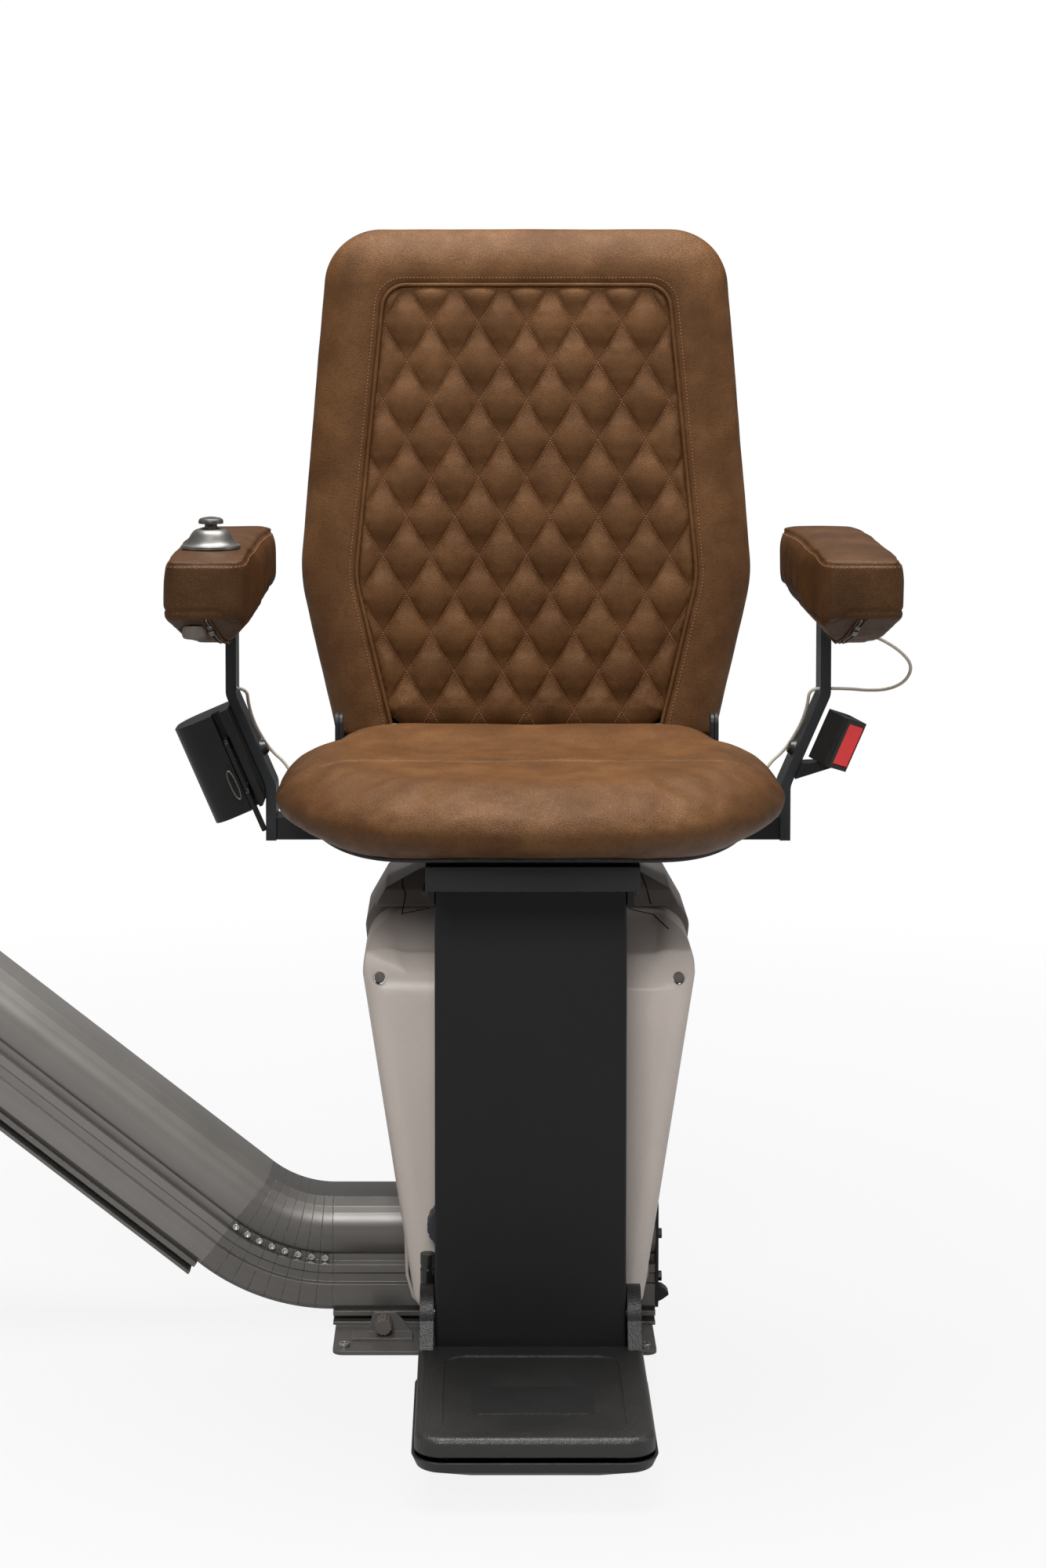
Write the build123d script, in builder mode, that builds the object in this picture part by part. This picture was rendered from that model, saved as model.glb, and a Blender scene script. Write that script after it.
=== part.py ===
"""Stairlift chair on a short length of its rail, millimetres.

+Z is up, +X runs along the level rail away from the stairs, and the sitter faces -Y.
The origin is on the floor, under the swivel centre, on the underside of the rail's foot plate.
"""
from build123d import *
import math
import os

os.makedirs("parts", exist_ok=True)

# ---- rail -------------------------------------------------------------------------------
foot_plate_thickness = 4.0
channel_height = 14.0
rail_height = 111.0
rail_half_depth = 35.0          # lower body of the extrusion, to its front face
tube_bulge = 3.0                # how far the upper tube stands out past the lower body
rail_wall = 5.0
level_length = 319.0
level_right = 127.5             # X of the level run's right end
bend_radius = 214.0             # to the underside of the rail
bend_angle = 38.0
wedge_count = 8
wedge_gap = 0.4
incline_length = 350.0
rail_bottom = foot_plate_thickness + channel_height
rail_top = rail_bottom + rail_height
level_left = level_right - level_length
groove_low, groove_high = 47.0, 54.0        # front groove, above the rail's underside
groove_depth = 9.0

# ---- rack and pinion --------------------------------------------------------------------
gear_module = 3.0
pinion_teeth = 12
pressure_angle = 20.0
rack_height = 16.0
rack_addendum = 2.1
rack_back = 23.0                # Y of the rack's back, in the rail's rear recess
rack_pitch_line = 32.0          # Y of its pitch line
mesh_backlash = 0.25
rack_middle = rail_bottom + 50.0
tooth_pitch = math.pi * gear_module
pinion_radius = gear_module * pinion_teeth / 2
pinion_width = 14.0

# ---- foot of the rail -------------------------------------------------------------------
foot_left, foot_right = -189.0, 125.0
foot_front, foot_back = -108.0, 62.0
foot_screw_spacing = 292.0
foot_screw_front = -95.0        # Y of the pair of screws in front
foot_screw_back = 49.0          # Y of the open pair behind
foot_hole_radius = 4.5
foot_middle = (foot_left + foot_right) / 2
ear_left, ear_right = -171.0, -112.0
ear_front = -63.0
ear_height = 22.0
ear_thickness = 3.0
clamp_knob_radius = 8.4
clamp_knob_x = -140.5
clamp_knob_z = 16.7
clamp_knob_length = 16.0

# ---- carriage ---------------------------------------------------------------------------
chassis_face = -60.0            # Y of the chassis plate's rear face
chassis_thickness = 6.0
chassis_half_width = 90.0
chassis_bottom, chassis_top = 32.0, 400.0
cover_wall = 3.0
cover_front = -166.0
cover_bottom = 57.0
cover_half_bottom = 107.0
cover_half_top = 158.5
cover_half_crown = cover_half_top - 36.5
cover_shoulder = 398.0          # Z where the front cover is widest
cover_top = 432.0
cover_edge_radius = 22.0
housing_top = 466.0
housing_back = 45.0
housing_bottom = 384.0
seam = 0.4                      # gap between neighbouring mouldings
skirt_depth = 19.0
skirt_bottom = 28.0
roller_x = 70.0
top_roller_radius = 16.0
side_roller_radius = 11.0
roller_bore_radius = 5.0
running_gap = 0.05
rolling_gap = 0.2
saddle_top = 172.0
saddle_half_width = 30.0
saddle_wall = 4.0
axle_flange = 3.0
mast_half_width, mast_back, mast_front = 30.0, -2.0, -52.0
beam_top = 492.0
beam_thickness = 6.0
beam_depth = 24.0
beam_back = 5.0
plate_half_width = 88.0
plate_front = -242.0            # Y of the backbone plate's front face
plate_thickness = 3.0
plate_bottom = 46.0
plate_flange = 42.0
standoff_radius = 10.0
standoff_x, standoff_z = 40.0, 330.0
wind_knob_radius = 20.0
wind_knob_x, wind_knob_z = -76.0, 151.0

# ---- footrest ---------------------------------------------------------------------------
hinge_y, hinge_z = -222.0, 84.0
hinge_pin_radius = 5.0
cheek_radius = 25.0
cheek_thickness = 13.0
cheek_gap = 1.0
tread_top, tread_thickness = 62.0, 16.0
tread_front, tread_back = -466.0, -251.0
tread_half_width = 103.0
tread_corner = 24.0
pan_rim, pan_bottom = 42.0, 24.0
pan_front, pan_back = -469.0, -262.0
pan_half_width = 105.5
pan_wall = 2.5
stud_radius = 3.0
stud_bottom = 30.5

# ---- swivel and seat frame --------------------------------------------------------------
swivel_y = -190.0
bearing_radius = 60.0
bearing_height = 4.0
swivel_hub_radius = 20.0
turret_plate = 4.0
tube_height = 22.0
tube_width = 30.0
runner_x = 80.0
runner_front = -330.0
cross_y = -80.0
frame_half_width = 241.8
frame_bottom = beam_top + bearing_height + 0.3
frame_tube_bottom = frame_bottom + turret_plate
frame_top = frame_tube_bottom + tube_height
buffer_height = 4.4

# ---- seat cushion -----------------------------------------------------------------------
pan_plate = 3.0
seat_pan_bottom = frame_top + buffer_height
soft_gap = 0.3
cushion_bottom = seat_pan_bottom + pan_plate + soft_gap
seat_half_width = 238.0
seat_rear_half = 190.0
seat_front, seat_rear = -402.0, -12.0
seat_widest = -190.0
seat_crest = 597.5
seam_y = -232.0                 # cross seam of the cushion's top
fold_y, fold_z = -11.0, 601.0   # axis the seat folds about
fold_lug_x = 181.5
fold_lug_thickness = 3.5
fold_lug_gap = 0.5
fold_boss_radius = 9.0
fold_pin_radius = 3.0

# ---- back -------------------------------------------------------------------------------
back_front, back_foot = 4.0, 590.0   # lower front edge of the back cushion
back_lean = 2.5
back_height = 500.0
back_half_foot, back_half_wide, back_half_top = 190.0, 226.5, 198.0
back_widest = 152.0             # height of the widest place above the foot
back_thickness = 44.0
shell_thickness = 14.0
upright_x = 80.0
panel_inset = 57.0
diamond_width, diamond_height = 47.5, 77.0
quilt_depth = 3.2

# ---- arms -------------------------------------------------------------------------------
arm_x = 285.0
arm_foot_x = 246.8
arm_kink_high, arm_kink_low = 641.0, 553.0
bar_thickness = 10.0
bar_depth = 40.0
bar_y = -80.0
arm_pivot_z = 745.0
arm_pin_radius = 5.0
pad_front, pad_rear = -370.0, -52.0
pad_half_width = 36.5
pad_middle, pad_crown = -210.0, 5.0      # Y of the pad's highest place, and its fall to the front
pad_top, pad_keel, pad_nose = 803.5, 716.0, 750.0
core_half_width = 15.0
core_front = -150.0
core_top = 772.0
slot_gap = 0.4
turret_y = -305.0
turret_radius = 26.0
turret_height = 17.0
button_radius = 11.0
button_tilt_z = 818.0
cable_radius = 1.6
belt_bolt_z = 585.0


def finish(builder, name):
    """Label a finished piece and write its STEP file."""
    builder.part.label = name
    export_step(builder.part, f"parts/{name}.step")


def facing(y):
    """Front-view plane at depth y: local x is X, local y is Z, and it looks towards -Y."""
    return Plane.XZ.offset(-y)


# =========================================================================================
# Rail: level run, bend of wedges and an incline that climbs to the left
# =========================================================================================
bend_centre = Vector(level_left, 0, rail_bottom + bend_radius)


def rail_plane(angle, along=0.0):
    """Cross-section plane of the rail after it has turned by angle and run on by along."""
    turn = math.radians(angle)
    down = Vector(-math.sin(turn), 0, -math.cos(turn))
    ahead = Vector(-math.cos(turn), 0, math.sin(turn))
    origin = bend_centre + down * bend_radius + ahead * along
    return Plane(origin=origin, x_dir=(0, 1, 0), z_dir=-ahead)


def rail_section(plane):
    """Extruded section: lower body, groove, round upper tube and a recess for the rack."""
    front = rail_half_depth
    tube_low, tube_high = groove_high + 4, rail_height - 14
    with BuildSketch(plane) as section:
        with BuildLine():
            Polyline(
                (0, 0),
                (-front + 4, 0),
                (-front, 5),
                (-front, 26),
                (-front + 3, 28),
                (-front + 3, 36),
                (-front, 38),
                (-front, groove_low - 1),
                (-front + groove_depth, groove_low),
                (-front + groove_depth, groove_high),
                (-front + 3, tube_low),
            )
            ThreePointArc(
                (-front + 3, tube_low),
                (-front - tube_bulge, (tube_low + tube_high) / 2),
                (-front + 3, tube_high),
            )
            Polyline(
                (-front + 3, tube_high),
                (-front + 5, tube_high + 6),
                (-front + 11, rail_height),
                (0, rail_height),
            )
            mirror(about=Plane.YZ)
        make_face()
        recess = 20.0
        with Locations((rack_back, rack_middle - rail_bottom)):
            Rectangle(rail_half_depth, recess, align=(Align.MIN, Align.CENTER), mode=Mode.SUBTRACT)
        with Locations((0, (recess / 2 + rack_middle - rail_bottom + rail_height) / 2)):
            RectangleRounded(
                2 * (front - 3 - rail_wall),
                rail_height - recess / 2 - rack_middle + rail_bottom - 2 * rail_wall,
                8,
                mode=Mode.SUBTRACT,
            )
        with Locations((0, (rack_middle - rail_bottom - recess / 2) / 2)):
            RectangleRounded(
                2 * (front - 3 - rail_wall),
                rack_middle - rail_bottom - recess / 2 - 2 * rail_wall,
                4,
                mode=Mode.SUBTRACT,
            )
    return section.sketch


def channel_section(plane):
    """Slotted channel under the rail, which the feet clamp to."""
    with BuildSketch(plane) as section:
        with Locations((0, -channel_height / 2)):
            Rectangle(2 * rail_half_depth + 4, channel_height)
        for side in (-1, 1):
            with Locations((side * (rail_half_depth + 2), -channel_height * 0.56)):
                Rectangle(2 * 16.0, 6.0, mode=Mode.SUBTRACT)
    return section.sketch


with BuildPart() as rail_level:
    extrude(rail_section(rail_plane(0)), amount=level_length)
finish(rail_level, "rail_level")

with BuildPart() as rail_incline:
    extrude(rail_section(rail_plane(bend_angle)), amount=-incline_length)
finish(rail_incline, "rail_incline")

channel_start = 4.0
with BuildPart() as rail_channels:
    extrude(channel_section(rail_plane(0)), amount=level_length)
    start_plane = rail_plane(bend_angle, channel_start)
    extrude(channel_section(start_plane), amount=channel_start - incline_length)
finish(rail_channels, "rail_channels")

wedge_step = bend_angle / wedge_count
wedge_gap_angle = math.degrees(wedge_gap / bend_radius)
bend_axis = Axis(bend_centre, (0, 1, 0))
wedge_screw_radius = 3.3
wedge_screw_head = 4.0
wedge_screw_height = (groove_low + groove_high) / 2
with BuildPart() as bend_wedges:
    for index in range(wedge_count):
        start = index * wedge_step + wedge_gap_angle / 2
        revolve(
            rail_section(rail_plane(start)),
            axis=bend_axis,
            revolution_arc=wedge_step - wedge_gap_angle,
        )
finish(bend_wedges, "bend_wedges")

with BuildPart() as bend_screws:
    for index in range(wedge_count):
        wedge_middle = rail_plane((index + 0.6) * wedge_step)
        seat = wedge_middle.from_local_coords((-rail_half_depth + groove_depth, wedge_screw_height))
        radial = wedge_middle.from_local_coords((0, 1)) - wedge_middle.origin
        with BuildSketch(Plane(origin=seat, x_dir=radial, z_dir=(0, -1, 0))):
            Circle(wedge_screw_radius)
        extrude(amount=wedge_screw_head)
        with BuildSketch(Plane(origin=seat + Vector(0, -wedge_screw_head, 0), x_dir=radial,
                               z_dir=(0, -1, 0))):
            RegularPolygon(2.0, 6)
        extrude(amount=-2.5, mode=Mode.SUBTRACT)
finish(bend_screws, "bend_screws")


def rack_bar(plane, length, tooth_at):
    """Toothed bar along a cross-section plane's normal, with a tooth at tooth_at from it."""
    slope = math.tan(math.radians(pressure_angle))
    root = gear_module * 1.2
    tip_half = tooth_pitch / 4 - mesh_backlash / 2 - rack_addendum * slope
    root_half = tooth_pitch / 4 - mesh_backlash / 2 + root * slope
    up = plane.from_local_coords((0, 1)) - plane.origin
    flat = Plane(origin=plane.origin, x_dir=plane.z_dir, z_dir=up)
    flat = flat.offset(rack_middle - rail_bottom - rack_height / 2)
    before = int((tooth_at - tooth_pitch) // tooth_pitch)
    after = int((length - tooth_at - tooth_pitch) // tooth_pitch)
    with BuildPart(mode=Mode.PRIVATE) as bar:
        with BuildSketch(flat):
            with Locations((length / 2, rack_back)):
                Rectangle(length - 2, rack_pitch_line - root - rack_back,
                          align=(Align.CENTER, Align.MIN))
            for index in range(-before, after + 1):
                middle = tooth_at + index * tooth_pitch
                with BuildLine():
                    Polyline(
                        (middle - root_half, rack_pitch_line - root),
                        (middle - tip_half, rack_pitch_line + rack_addendum),
                        (middle + tip_half, rack_pitch_line + rack_addendum),
                        (middle + root_half, rack_pitch_line - root),
                        close=True,
                    )
                make_face()
        extrude(amount=rack_height)
    return bar.part


with BuildPart() as rack:
    add(rack_bar(rail_plane(0), level_length, -level_left))
    add(rack_bar(rail_plane(bend_angle, incline_length), incline_length, incline_length / 2))
finish(rack, "rack")

end_plate_thickness = 3.0
end_bolt_radius, end_bolt_head = 5.0, 4.0
end_bolt_heights = (30.0, 73.0)
with BuildPart() as rail_end_plate:
    with BuildSketch(Plane.YZ.offset(level_right)):
        with Locations((0, rail_bottom + rail_height / 2)):
            RectangleRounded(2 * rail_half_depth + 4, rail_height - 2, 10)
    extrude(amount=end_plate_thickness)
finish(rail_end_plate, "rail_end_plate")

with BuildPart() as end_plate_bolts:
    for height in end_bolt_heights:
        with BuildSketch(Plane.YZ.offset(level_right + end_plate_thickness)):
            with Locations((-rail_half_depth + 14, rail_bottom + height)):
                RegularPolygon(end_bolt_radius, 6)
        extrude(amount=end_bolt_head)
finish(end_plate_bolts, "end_plate_bolts")

with BuildPart() as end_stop_hook:
    with BuildSketch(facing(-rail_half_depth)):
        with BuildLine():
            hook_root = level_right + end_plate_thickness
            Polyline(
                (hook_root, 27), (hook_root + 4, 29), (hook_root + 11, 34), (hook_root + 8, 38),
                (hook_root + 4, 41), (hook_root, 42), close=True,
            )
        make_face()
        fillet(vertices().sort_by(Axis.X)[-1:], radius=2)
    extrude(amount=-14)
finish(end_stop_hook, "end_stop_hook")

# =========================================================================================
# Foot plate, ear bracket, clamp knob and the two screws in front
# =========================================================================================
with BuildPart() as foot_plate:
    with BuildSketch():
        with Locations((foot_middle, (foot_front + foot_back) / 2)):
            RectangleRounded(foot_right - foot_left, foot_back - foot_front, 10)
        for row in (foot_screw_front, foot_screw_back):
            with Locations((foot_middle, row)):
                with GridLocations(foot_screw_spacing, 0, 2, 1):
                    Circle(foot_hole_radius, mode=Mode.SUBTRACT)
    extrude(amount=foot_plate_thickness)
    fillet(faces().sort_by(Axis.Z)[-1].outer_wire().edges(), radius=1)
finish(foot_plate, "foot_plate")

screw_head_radius, screw_head_height = 5.4, 3.6
with BuildPart() as foot_screws:
    with Locations((foot_middle, foot_screw_front)):
        with GridLocations(foot_screw_spacing, 0, 2, 1):
            Cylinder(foot_hole_radius - running_gap, foot_plate_thickness,
                     align=(Align.CENTER, Align.CENTER, Align.MIN))
    with BuildSketch(Plane.XY.offset(foot_plate_thickness)):
        with Locations((foot_middle, foot_screw_front)):
            with GridLocations(foot_screw_spacing, 0, 2, 1):
                Circle(screw_head_radius)
    extrude(amount=screw_head_height)
    with BuildSketch(Plane.XY.offset(foot_plate_thickness + screw_head_height)):
        with Locations((foot_middle, foot_screw_front)):
            with GridLocations(foot_screw_spacing, 0, 2, 1):
                RegularPolygon(2.6, 6)
    extrude(amount=-2, mode=Mode.SUBTRACT)
finish(foot_screws, "foot_screws")

ear_middle = (ear_left + ear_right) / 2
ear_flange_width = 19.0
with BuildPart() as foot_ear:
    with BuildSketch(facing(ear_front)):
        with BuildLine():
            Polyline(
                (ear_left, foot_plate_thickness),
                (ear_left + 15, foot_plate_thickness + 2),
                (ear_left + 20, foot_plate_thickness + ear_height),
                (ear_right - 17, foot_plate_thickness + ear_height),
                (ear_right - 9, foot_plate_thickness + ear_height * 0.6),
                (ear_right, foot_plate_thickness),
                close=True,
            )
        make_face()
        fillet(vertices().group_by(Axis.Y)[-1], radius=4)
        with Locations((clamp_knob_x, clamp_knob_z)):
            Circle(4 + running_gap, mode=Mode.SUBTRACT)
    extrude(amount=-ear_thickness)
    with BuildSketch(Plane.XY.offset(foot_plate_thickness)):
        with Locations((ear_middle, ear_front + ear_thickness)):
            Rectangle(ear_right - ear_left, ear_flange_width + ear_thickness,
                      align=(Align.CENTER, Align.MAX))
    extrude(amount=ear_thickness)
finish(foot_ear, "foot_ear")

with BuildPart() as clamp_knob:
    with BuildSketch(facing(ear_front - 0.3)):
        with Locations((clamp_knob_x, clamp_knob_z)):
            Circle(clamp_knob_radius)
            with PolarLocations(clamp_knob_radius + 0.8, 12):
                Circle(1.5, mode=Mode.SUBTRACT)
    extrude(amount=clamp_knob_length)
    fillet(faces().sort_by(Axis.Y)[0].edges(), radius=0.8)
    with BuildSketch(facing(ear_front - 0.3)):
        with Locations((clamp_knob_x, clamp_knob_z)):
            Circle(4)
    extrude(amount=-(ear_thickness + 6))
finish(clamp_knob, "clamp_knob")

# =========================================================================================
# Carriage: chassis, saddle over the rail, rollers and drive
# =========================================================================================
tray_low, tray_depth = 94.0, 78.0
roller_bracket_z = rail_bottom + 29.0
side_roller_y = -rail_half_depth - side_roller_radius - rolling_gap
with BuildPart() as chassis:
    with BuildSketch(facing(chassis_face)):
        with Locations((0, chassis_bottom)):
            Rectangle(2 * chassis_half_width, chassis_top - chassis_bottom,
                      align=(Align.CENTER, Align.MIN))
        with Locations((0, 300)):
            RectangleRounded(90, 60, 10, mode=Mode.SUBTRACT)
    extrude(amount=chassis_thickness)
    with BuildSketch(facing(chassis_face - chassis_thickness)):
        with Locations((0, tray_low)):
            Rectangle(2 * chassis_half_width - 10, 4, align=(Align.CENTER, Align.MIN))
    extrude(amount=tray_depth)
    for side in (-1, 1):
        with BuildSketch(Plane.XY.offset(roller_bracket_z)):
            with Locations((side * roller_x, chassis_face)):
                Rectangle(24, 20, align=(Align.CENTER, Align.MIN))
        extrude(amount=5)
        with BuildSketch(Plane.XY.offset(roller_bracket_z)):
            with Locations((side * roller_x, side_roller_y)):
                Circle(roller_bore_radius - running_gap)
        extrude(amount=-22)
finish(chassis, "chassis")

top_roller_z = rail_top + top_roller_radius + rolling_gap
with BuildPart() as saddle:
    with BuildSketch(Plane.YZ.offset(-chassis_half_width)):
        with BuildLine():
            Polyline(
                (chassis_face, saddle_top - saddle_wall),
                (chassis_face, saddle_top),
                (saddle_half_width + saddle_wall, saddle_top),
                (saddle_half_width + saddle_wall, rail_top + 4),
                (saddle_half_width, rail_top + 4),
                (saddle_half_width, saddle_top - saddle_wall),
                (-saddle_half_width, saddle_top - saddle_wall),
                (-saddle_half_width, rail_top + 4),
                (-saddle_half_width - saddle_wall, rail_top + 4),
                (-saddle_half_width - saddle_wall, saddle_top - saddle_wall),
                close=True,
            )
        make_face()
    extrude(amount=2 * chassis_half_width)
    # roller axles, riveted through both flanks of the saddle
    for radius, reach in ((roller_bore_radius - running_gap, 2 * saddle_half_width + saddle_wall),
                          (roller_bore_radius + 3, 0)):
        with BuildSketch(facing(saddle_half_width + saddle_wall + axle_flange)):
            with Locations((-roller_x, top_roller_z), (roller_x, top_roller_z)):
                Circle(radius)
        extrude(amount=axle_flange + reach)
finish(saddle, "saddle")

top_roller_half = 20.0
for name, x in (("top_roller_left", -roller_x), ("top_roller_right", roller_x)):
    with BuildPart() as top_roller:
        with BuildSketch(Plane.XY):
            with BuildLine():
                Polyline(
                    (roller_bore_radius, -top_roller_half),
                    (roller_bore_radius, top_roller_half),
                    (top_roller_radius - 3, top_roller_half),
                    (top_roller_radius - 3, top_roller_half - 3),
                    (top_roller_radius, top_roller_half - 6),
                    (top_roller_radius, -top_roller_half + 6),
                    (top_roller_radius - 3, -top_roller_half + 3),
                    (top_roller_radius - 3, -top_roller_half),
                    close=True,
                )
            make_face()
        revolve(axis=Axis.Y)
    top_roller.part.position = (x, 0, top_roller_z)
    finish(top_roller, name)

side_roller_length = 12.0
for name, x in (("side_roller_left", -roller_x), ("side_roller_right", roller_x)):
    with BuildPart() as side_roller:
        with BuildSketch(Plane.XY.offset(rail_bottom + 11)):
            with Locations((x, side_roller_y)):
                Circle(side_roller_radius)
                Circle(roller_bore_radius, mode=Mode.SUBTRACT)
        extrude(amount=side_roller_length)
        chamfer(edges().filter_by(GeomType.CIRCLE).sort_by(SortBy.RADIUS)[-2:], length=1.5)
    finish(side_roller, name)

pinion_y = rack_pitch_line + pinion_radius
base_radius = pinion_radius * math.cos(math.radians(pressure_angle))
tip_radius = pinion_radius + gear_module
root_radius = pinion_radius - 1.2 * gear_module


def involute_point(radius, tooth_angle):
    """Point of a tooth's flank at a radius, turned so that the tooth stands on local x."""
    roll = math.acos(min(1.0, base_radius / radius))
    pitch_roll = math.radians(pressure_angle)
    drift = (math.tan(roll) - roll) - (math.tan(pitch_roll) - pitch_roll)
    half = tooth_angle / 4 - mesh_backlash / 2 / pinion_radius - drift
    return (radius * math.cos(half), radius * math.sin(half))


tooth_angle = 2 * math.pi / pinion_teeth
flank_radii = [base_radius + step * (tip_radius - base_radius) / 4 for step in range(5)]
upper_flank = [involute_point(radius, tooth_angle) for radius in flank_radii]
with BuildSketch(mode=Mode.PRIVATE) as pinion_tooth:
    with BuildLine():
        Polyline(
            (0, 0),
            (root_radius * 0.9, upper_flank[0][1]),
            *upper_flank,
            *[(px, -py) for px, py in reversed(upper_flank)],
            (root_radius * 0.9, -upper_flank[0][1]),
            close=True,
        )
    make_face()
with BuildPart() as drive_pinion:
    with BuildSketch(Plane.XY.offset(rack_middle - pinion_width / 2)):
        with Locations((0, pinion_y)):
            Circle(root_radius)
            # a space of the pinion faces the rack's middle tooth
            with PolarLocations(0, pinion_teeth, start_angle=-90 + 180 / pinion_teeth):
                add(pinion_tooth.sketch)
    extrude(amount=pinion_width)
    with BuildSketch(Plane.XY.offset(rack_middle + pinion_width / 2)):
        with Locations((0, pinion_y)):
            Circle(6)
    extrude(amount=saddle_top - rack_middle - pinion_width / 2 + 20)
finish(drive_pinion, "drive_pinion")

gearbox_half, gearbox_back, gearbox_height = 32.0, 74.0, 60.0
motor_radius, motor_length = 28.0, 86.0
motor_y, motor_z = 38.0, saddle_top + 30.0
with BuildPart() as gearmotor:
    with BuildSketch(Plane.XY.offset(saddle_top)):
        with Locations((0, gearbox_back)):
            RectangleRounded(2 * gearbox_half, gearbox_back - mast_back - seam, 8,
                             align=(Align.CENTER, Align.MAX))
    extrude(amount=gearbox_height)
    chamfer(faces().sort_by(Axis.Z)[-1].edges(), length=4)
    with BuildSketch(Plane.XY.offset(saddle_top)):
        with Locations((0, pinion_y)):
            Circle(6 + running_gap)
    extrude(amount=22, mode=Mode.SUBTRACT)
    with BuildSketch(Plane.YZ.offset(gearbox_half)):
        with Locations((motor_y, motor_z)):
            Circle(motor_radius)
    extrude(amount=motor_length)
    chamfer(faces().sort_by(Axis.X)[-1].edges(), length=4)
    with BuildSketch(Plane.YZ.offset(gearbox_half + motor_length)):
        with Locations((motor_y, motor_z)):
            Circle(11)
    extrude(amount=9)
finish(gearmotor, "gearmotor")

battery_size = (151.0, 65.0, 94.0)
with BuildPart() as batteries:
    for level in range(2):
        low = tray_low + 4 + level * (battery_size[2] + 1)
        with BuildSketch(Plane.XY.offset(low)):
            with Locations((0, chassis_face - chassis_thickness)):
                Rectangle(battery_size[0], battery_size[1], align=(Align.CENTER, Align.MAX))
        extrude(amount=battery_size[2] + (1 - level))
finish(batteries, "batteries")

with BuildPart() as mast:
    with BuildSketch(Plane.XY.offset(saddle_top)):
        with Locations((0, (mast_front + mast_back) / 2)):
            RectangleRounded(2 * mast_half_width, mast_back - mast_front, 6)
            RectangleRounded(2 * mast_half_width - 8, mast_back - mast_front - 8, 3,
                             mode=Mode.SUBTRACT)
    extrude(amount=beam_top - beam_thickness - saddle_top)
finish(mast, "mast")

# =========================================================================================
# Carriage covers
# =========================================================================================


def cover_solid(inset):
    """Front cover's outer form, or its inside when inset is the wall."""
    back = chassis_face + (0 if inset == 0 else 1)
    low, high = cover_bottom + inset, cover_top - inset
    with BuildPart(mode=Mode.PRIVATE) as form:
        with BuildSketch(facing(back)):
            with BuildLine():
                Polyline(
                    (cover_half_bottom - inset, low),
                    (cover_half_top - inset, cover_shoulder - 8),
                    (cover_half_crown - inset, high),
                    (-cover_half_crown + inset, high),
                    (-cover_half_top + inset, cover_shoulder - 8),
                    (-cover_half_bottom + inset, low),
                    close=True,
                )
            make_face()
            fillet(vertices().group_by(Axis.Y)[1], radius=20 - inset)
            fillet(vertices().group_by(Axis.Y)[-1], radius=30 - inset)
            fillet(vertices().group_by(Axis.Y)[0], radius=20 - inset)
        extrude(amount=back - cover_front - inset)
        fillet(faces().sort_by(Axis.Y)[0].edges(), radius=cover_edge_radius - inset)
        with BuildSketch(Plane.YZ.offset(-200), mode=Mode.PRIVATE) as side:
            with BuildLine():
                Polyline(
                    (back, low), (cover_front + 14 + inset, low), (cover_front + inset, low + 22),
                    (cover_front + inset, 372), (cover_front + 20 + inset, cover_shoulder + 3),
                    (-86 + inset, high - 3), (-80, high), (back, high), close=True,
                )
            make_face()
        extrude(side.sketch, amount=400, mode=Mode.INTERSECT)
    return form.part


cover_screw_x, cover_screw_z = cover_half_top - 17.5, 381.0
cover_screw_radius = 5.2
with BuildPart() as front_cover:
    add(cover_solid(0))
    add(cover_solid(cover_wall), mode=Mode.SUBTRACT)
    with BuildSketch(facing(cover_front - 5)):
        with Locations((-cover_screw_x, cover_screw_z), (cover_screw_x, cover_screw_z)):
            Circle(cover_screw_radius)
        with Locations((-standoff_x, standoff_z), (standoff_x, standoff_z)):
            Circle(standoff_radius + 1)
    extrude(amount=-60, mode=Mode.SUBTRACT)
    # notch in the floor of the cover for the chassis plate
    with BuildSketch(Plane.XY.offset(cover_bottom - 1)):
        with Locations((0, chassis_face)):
            Rectangle(2 * (chassis_half_width + seam), 2 * (chassis_thickness + seam))
    extrude(amount=cover_wall + 2, mode=Mode.SUBTRACT)
finish(front_cover, "front_cover")


def housing_solid(inset):
    """Upper housing's outer form, or its inside when inset is the wall."""
    low, high = housing_bottom - (5 if inset else 0), housing_top - inset
    front = chassis_face + seam + inset
    with BuildPart(mode=Mode.PRIVATE) as form:
        with BuildSketch(facing(housing_back - inset)):
            with BuildLine():
                wide = cover_half_top - 0.5 - inset
                Polyline(
                    (wide - 3, low), (wide, 414), (wide - 20, 449), (wide - 56, high),
                    (-wide + 56, high), (-wide + 20, 449), (-wide, 414), (-wide + 3, low),
                    close=True,
                )
            make_face()
            fillet(vertices().group_by(Axis.Y)[1], radius=20 - inset)
            fillet(vertices().group_by(Axis.Y)[2], radius=30 - inset)
            fillet(vertices().group_by(Axis.Y)[-1], radius=40 - inset)
        extrude(amount=housing_back - inset + 90)
        with BuildSketch(Plane.YZ.offset(-200), mode=Mode.PRIVATE) as side:
            with BuildLine():
                lip = cover_top + seam
                Polyline(
                    (front, low), (front, lip + inset), (-83 + inset, lip + inset),
                    (-76 + inset, 448), (-56 + inset, high), (housing_back - inset, high),
                    (housing_back - inset, low), close=True,
                )
            make_face()
        extrude(side.sketch, amount=400, mode=Mode.INTERSECT)
    return form.part


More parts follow.
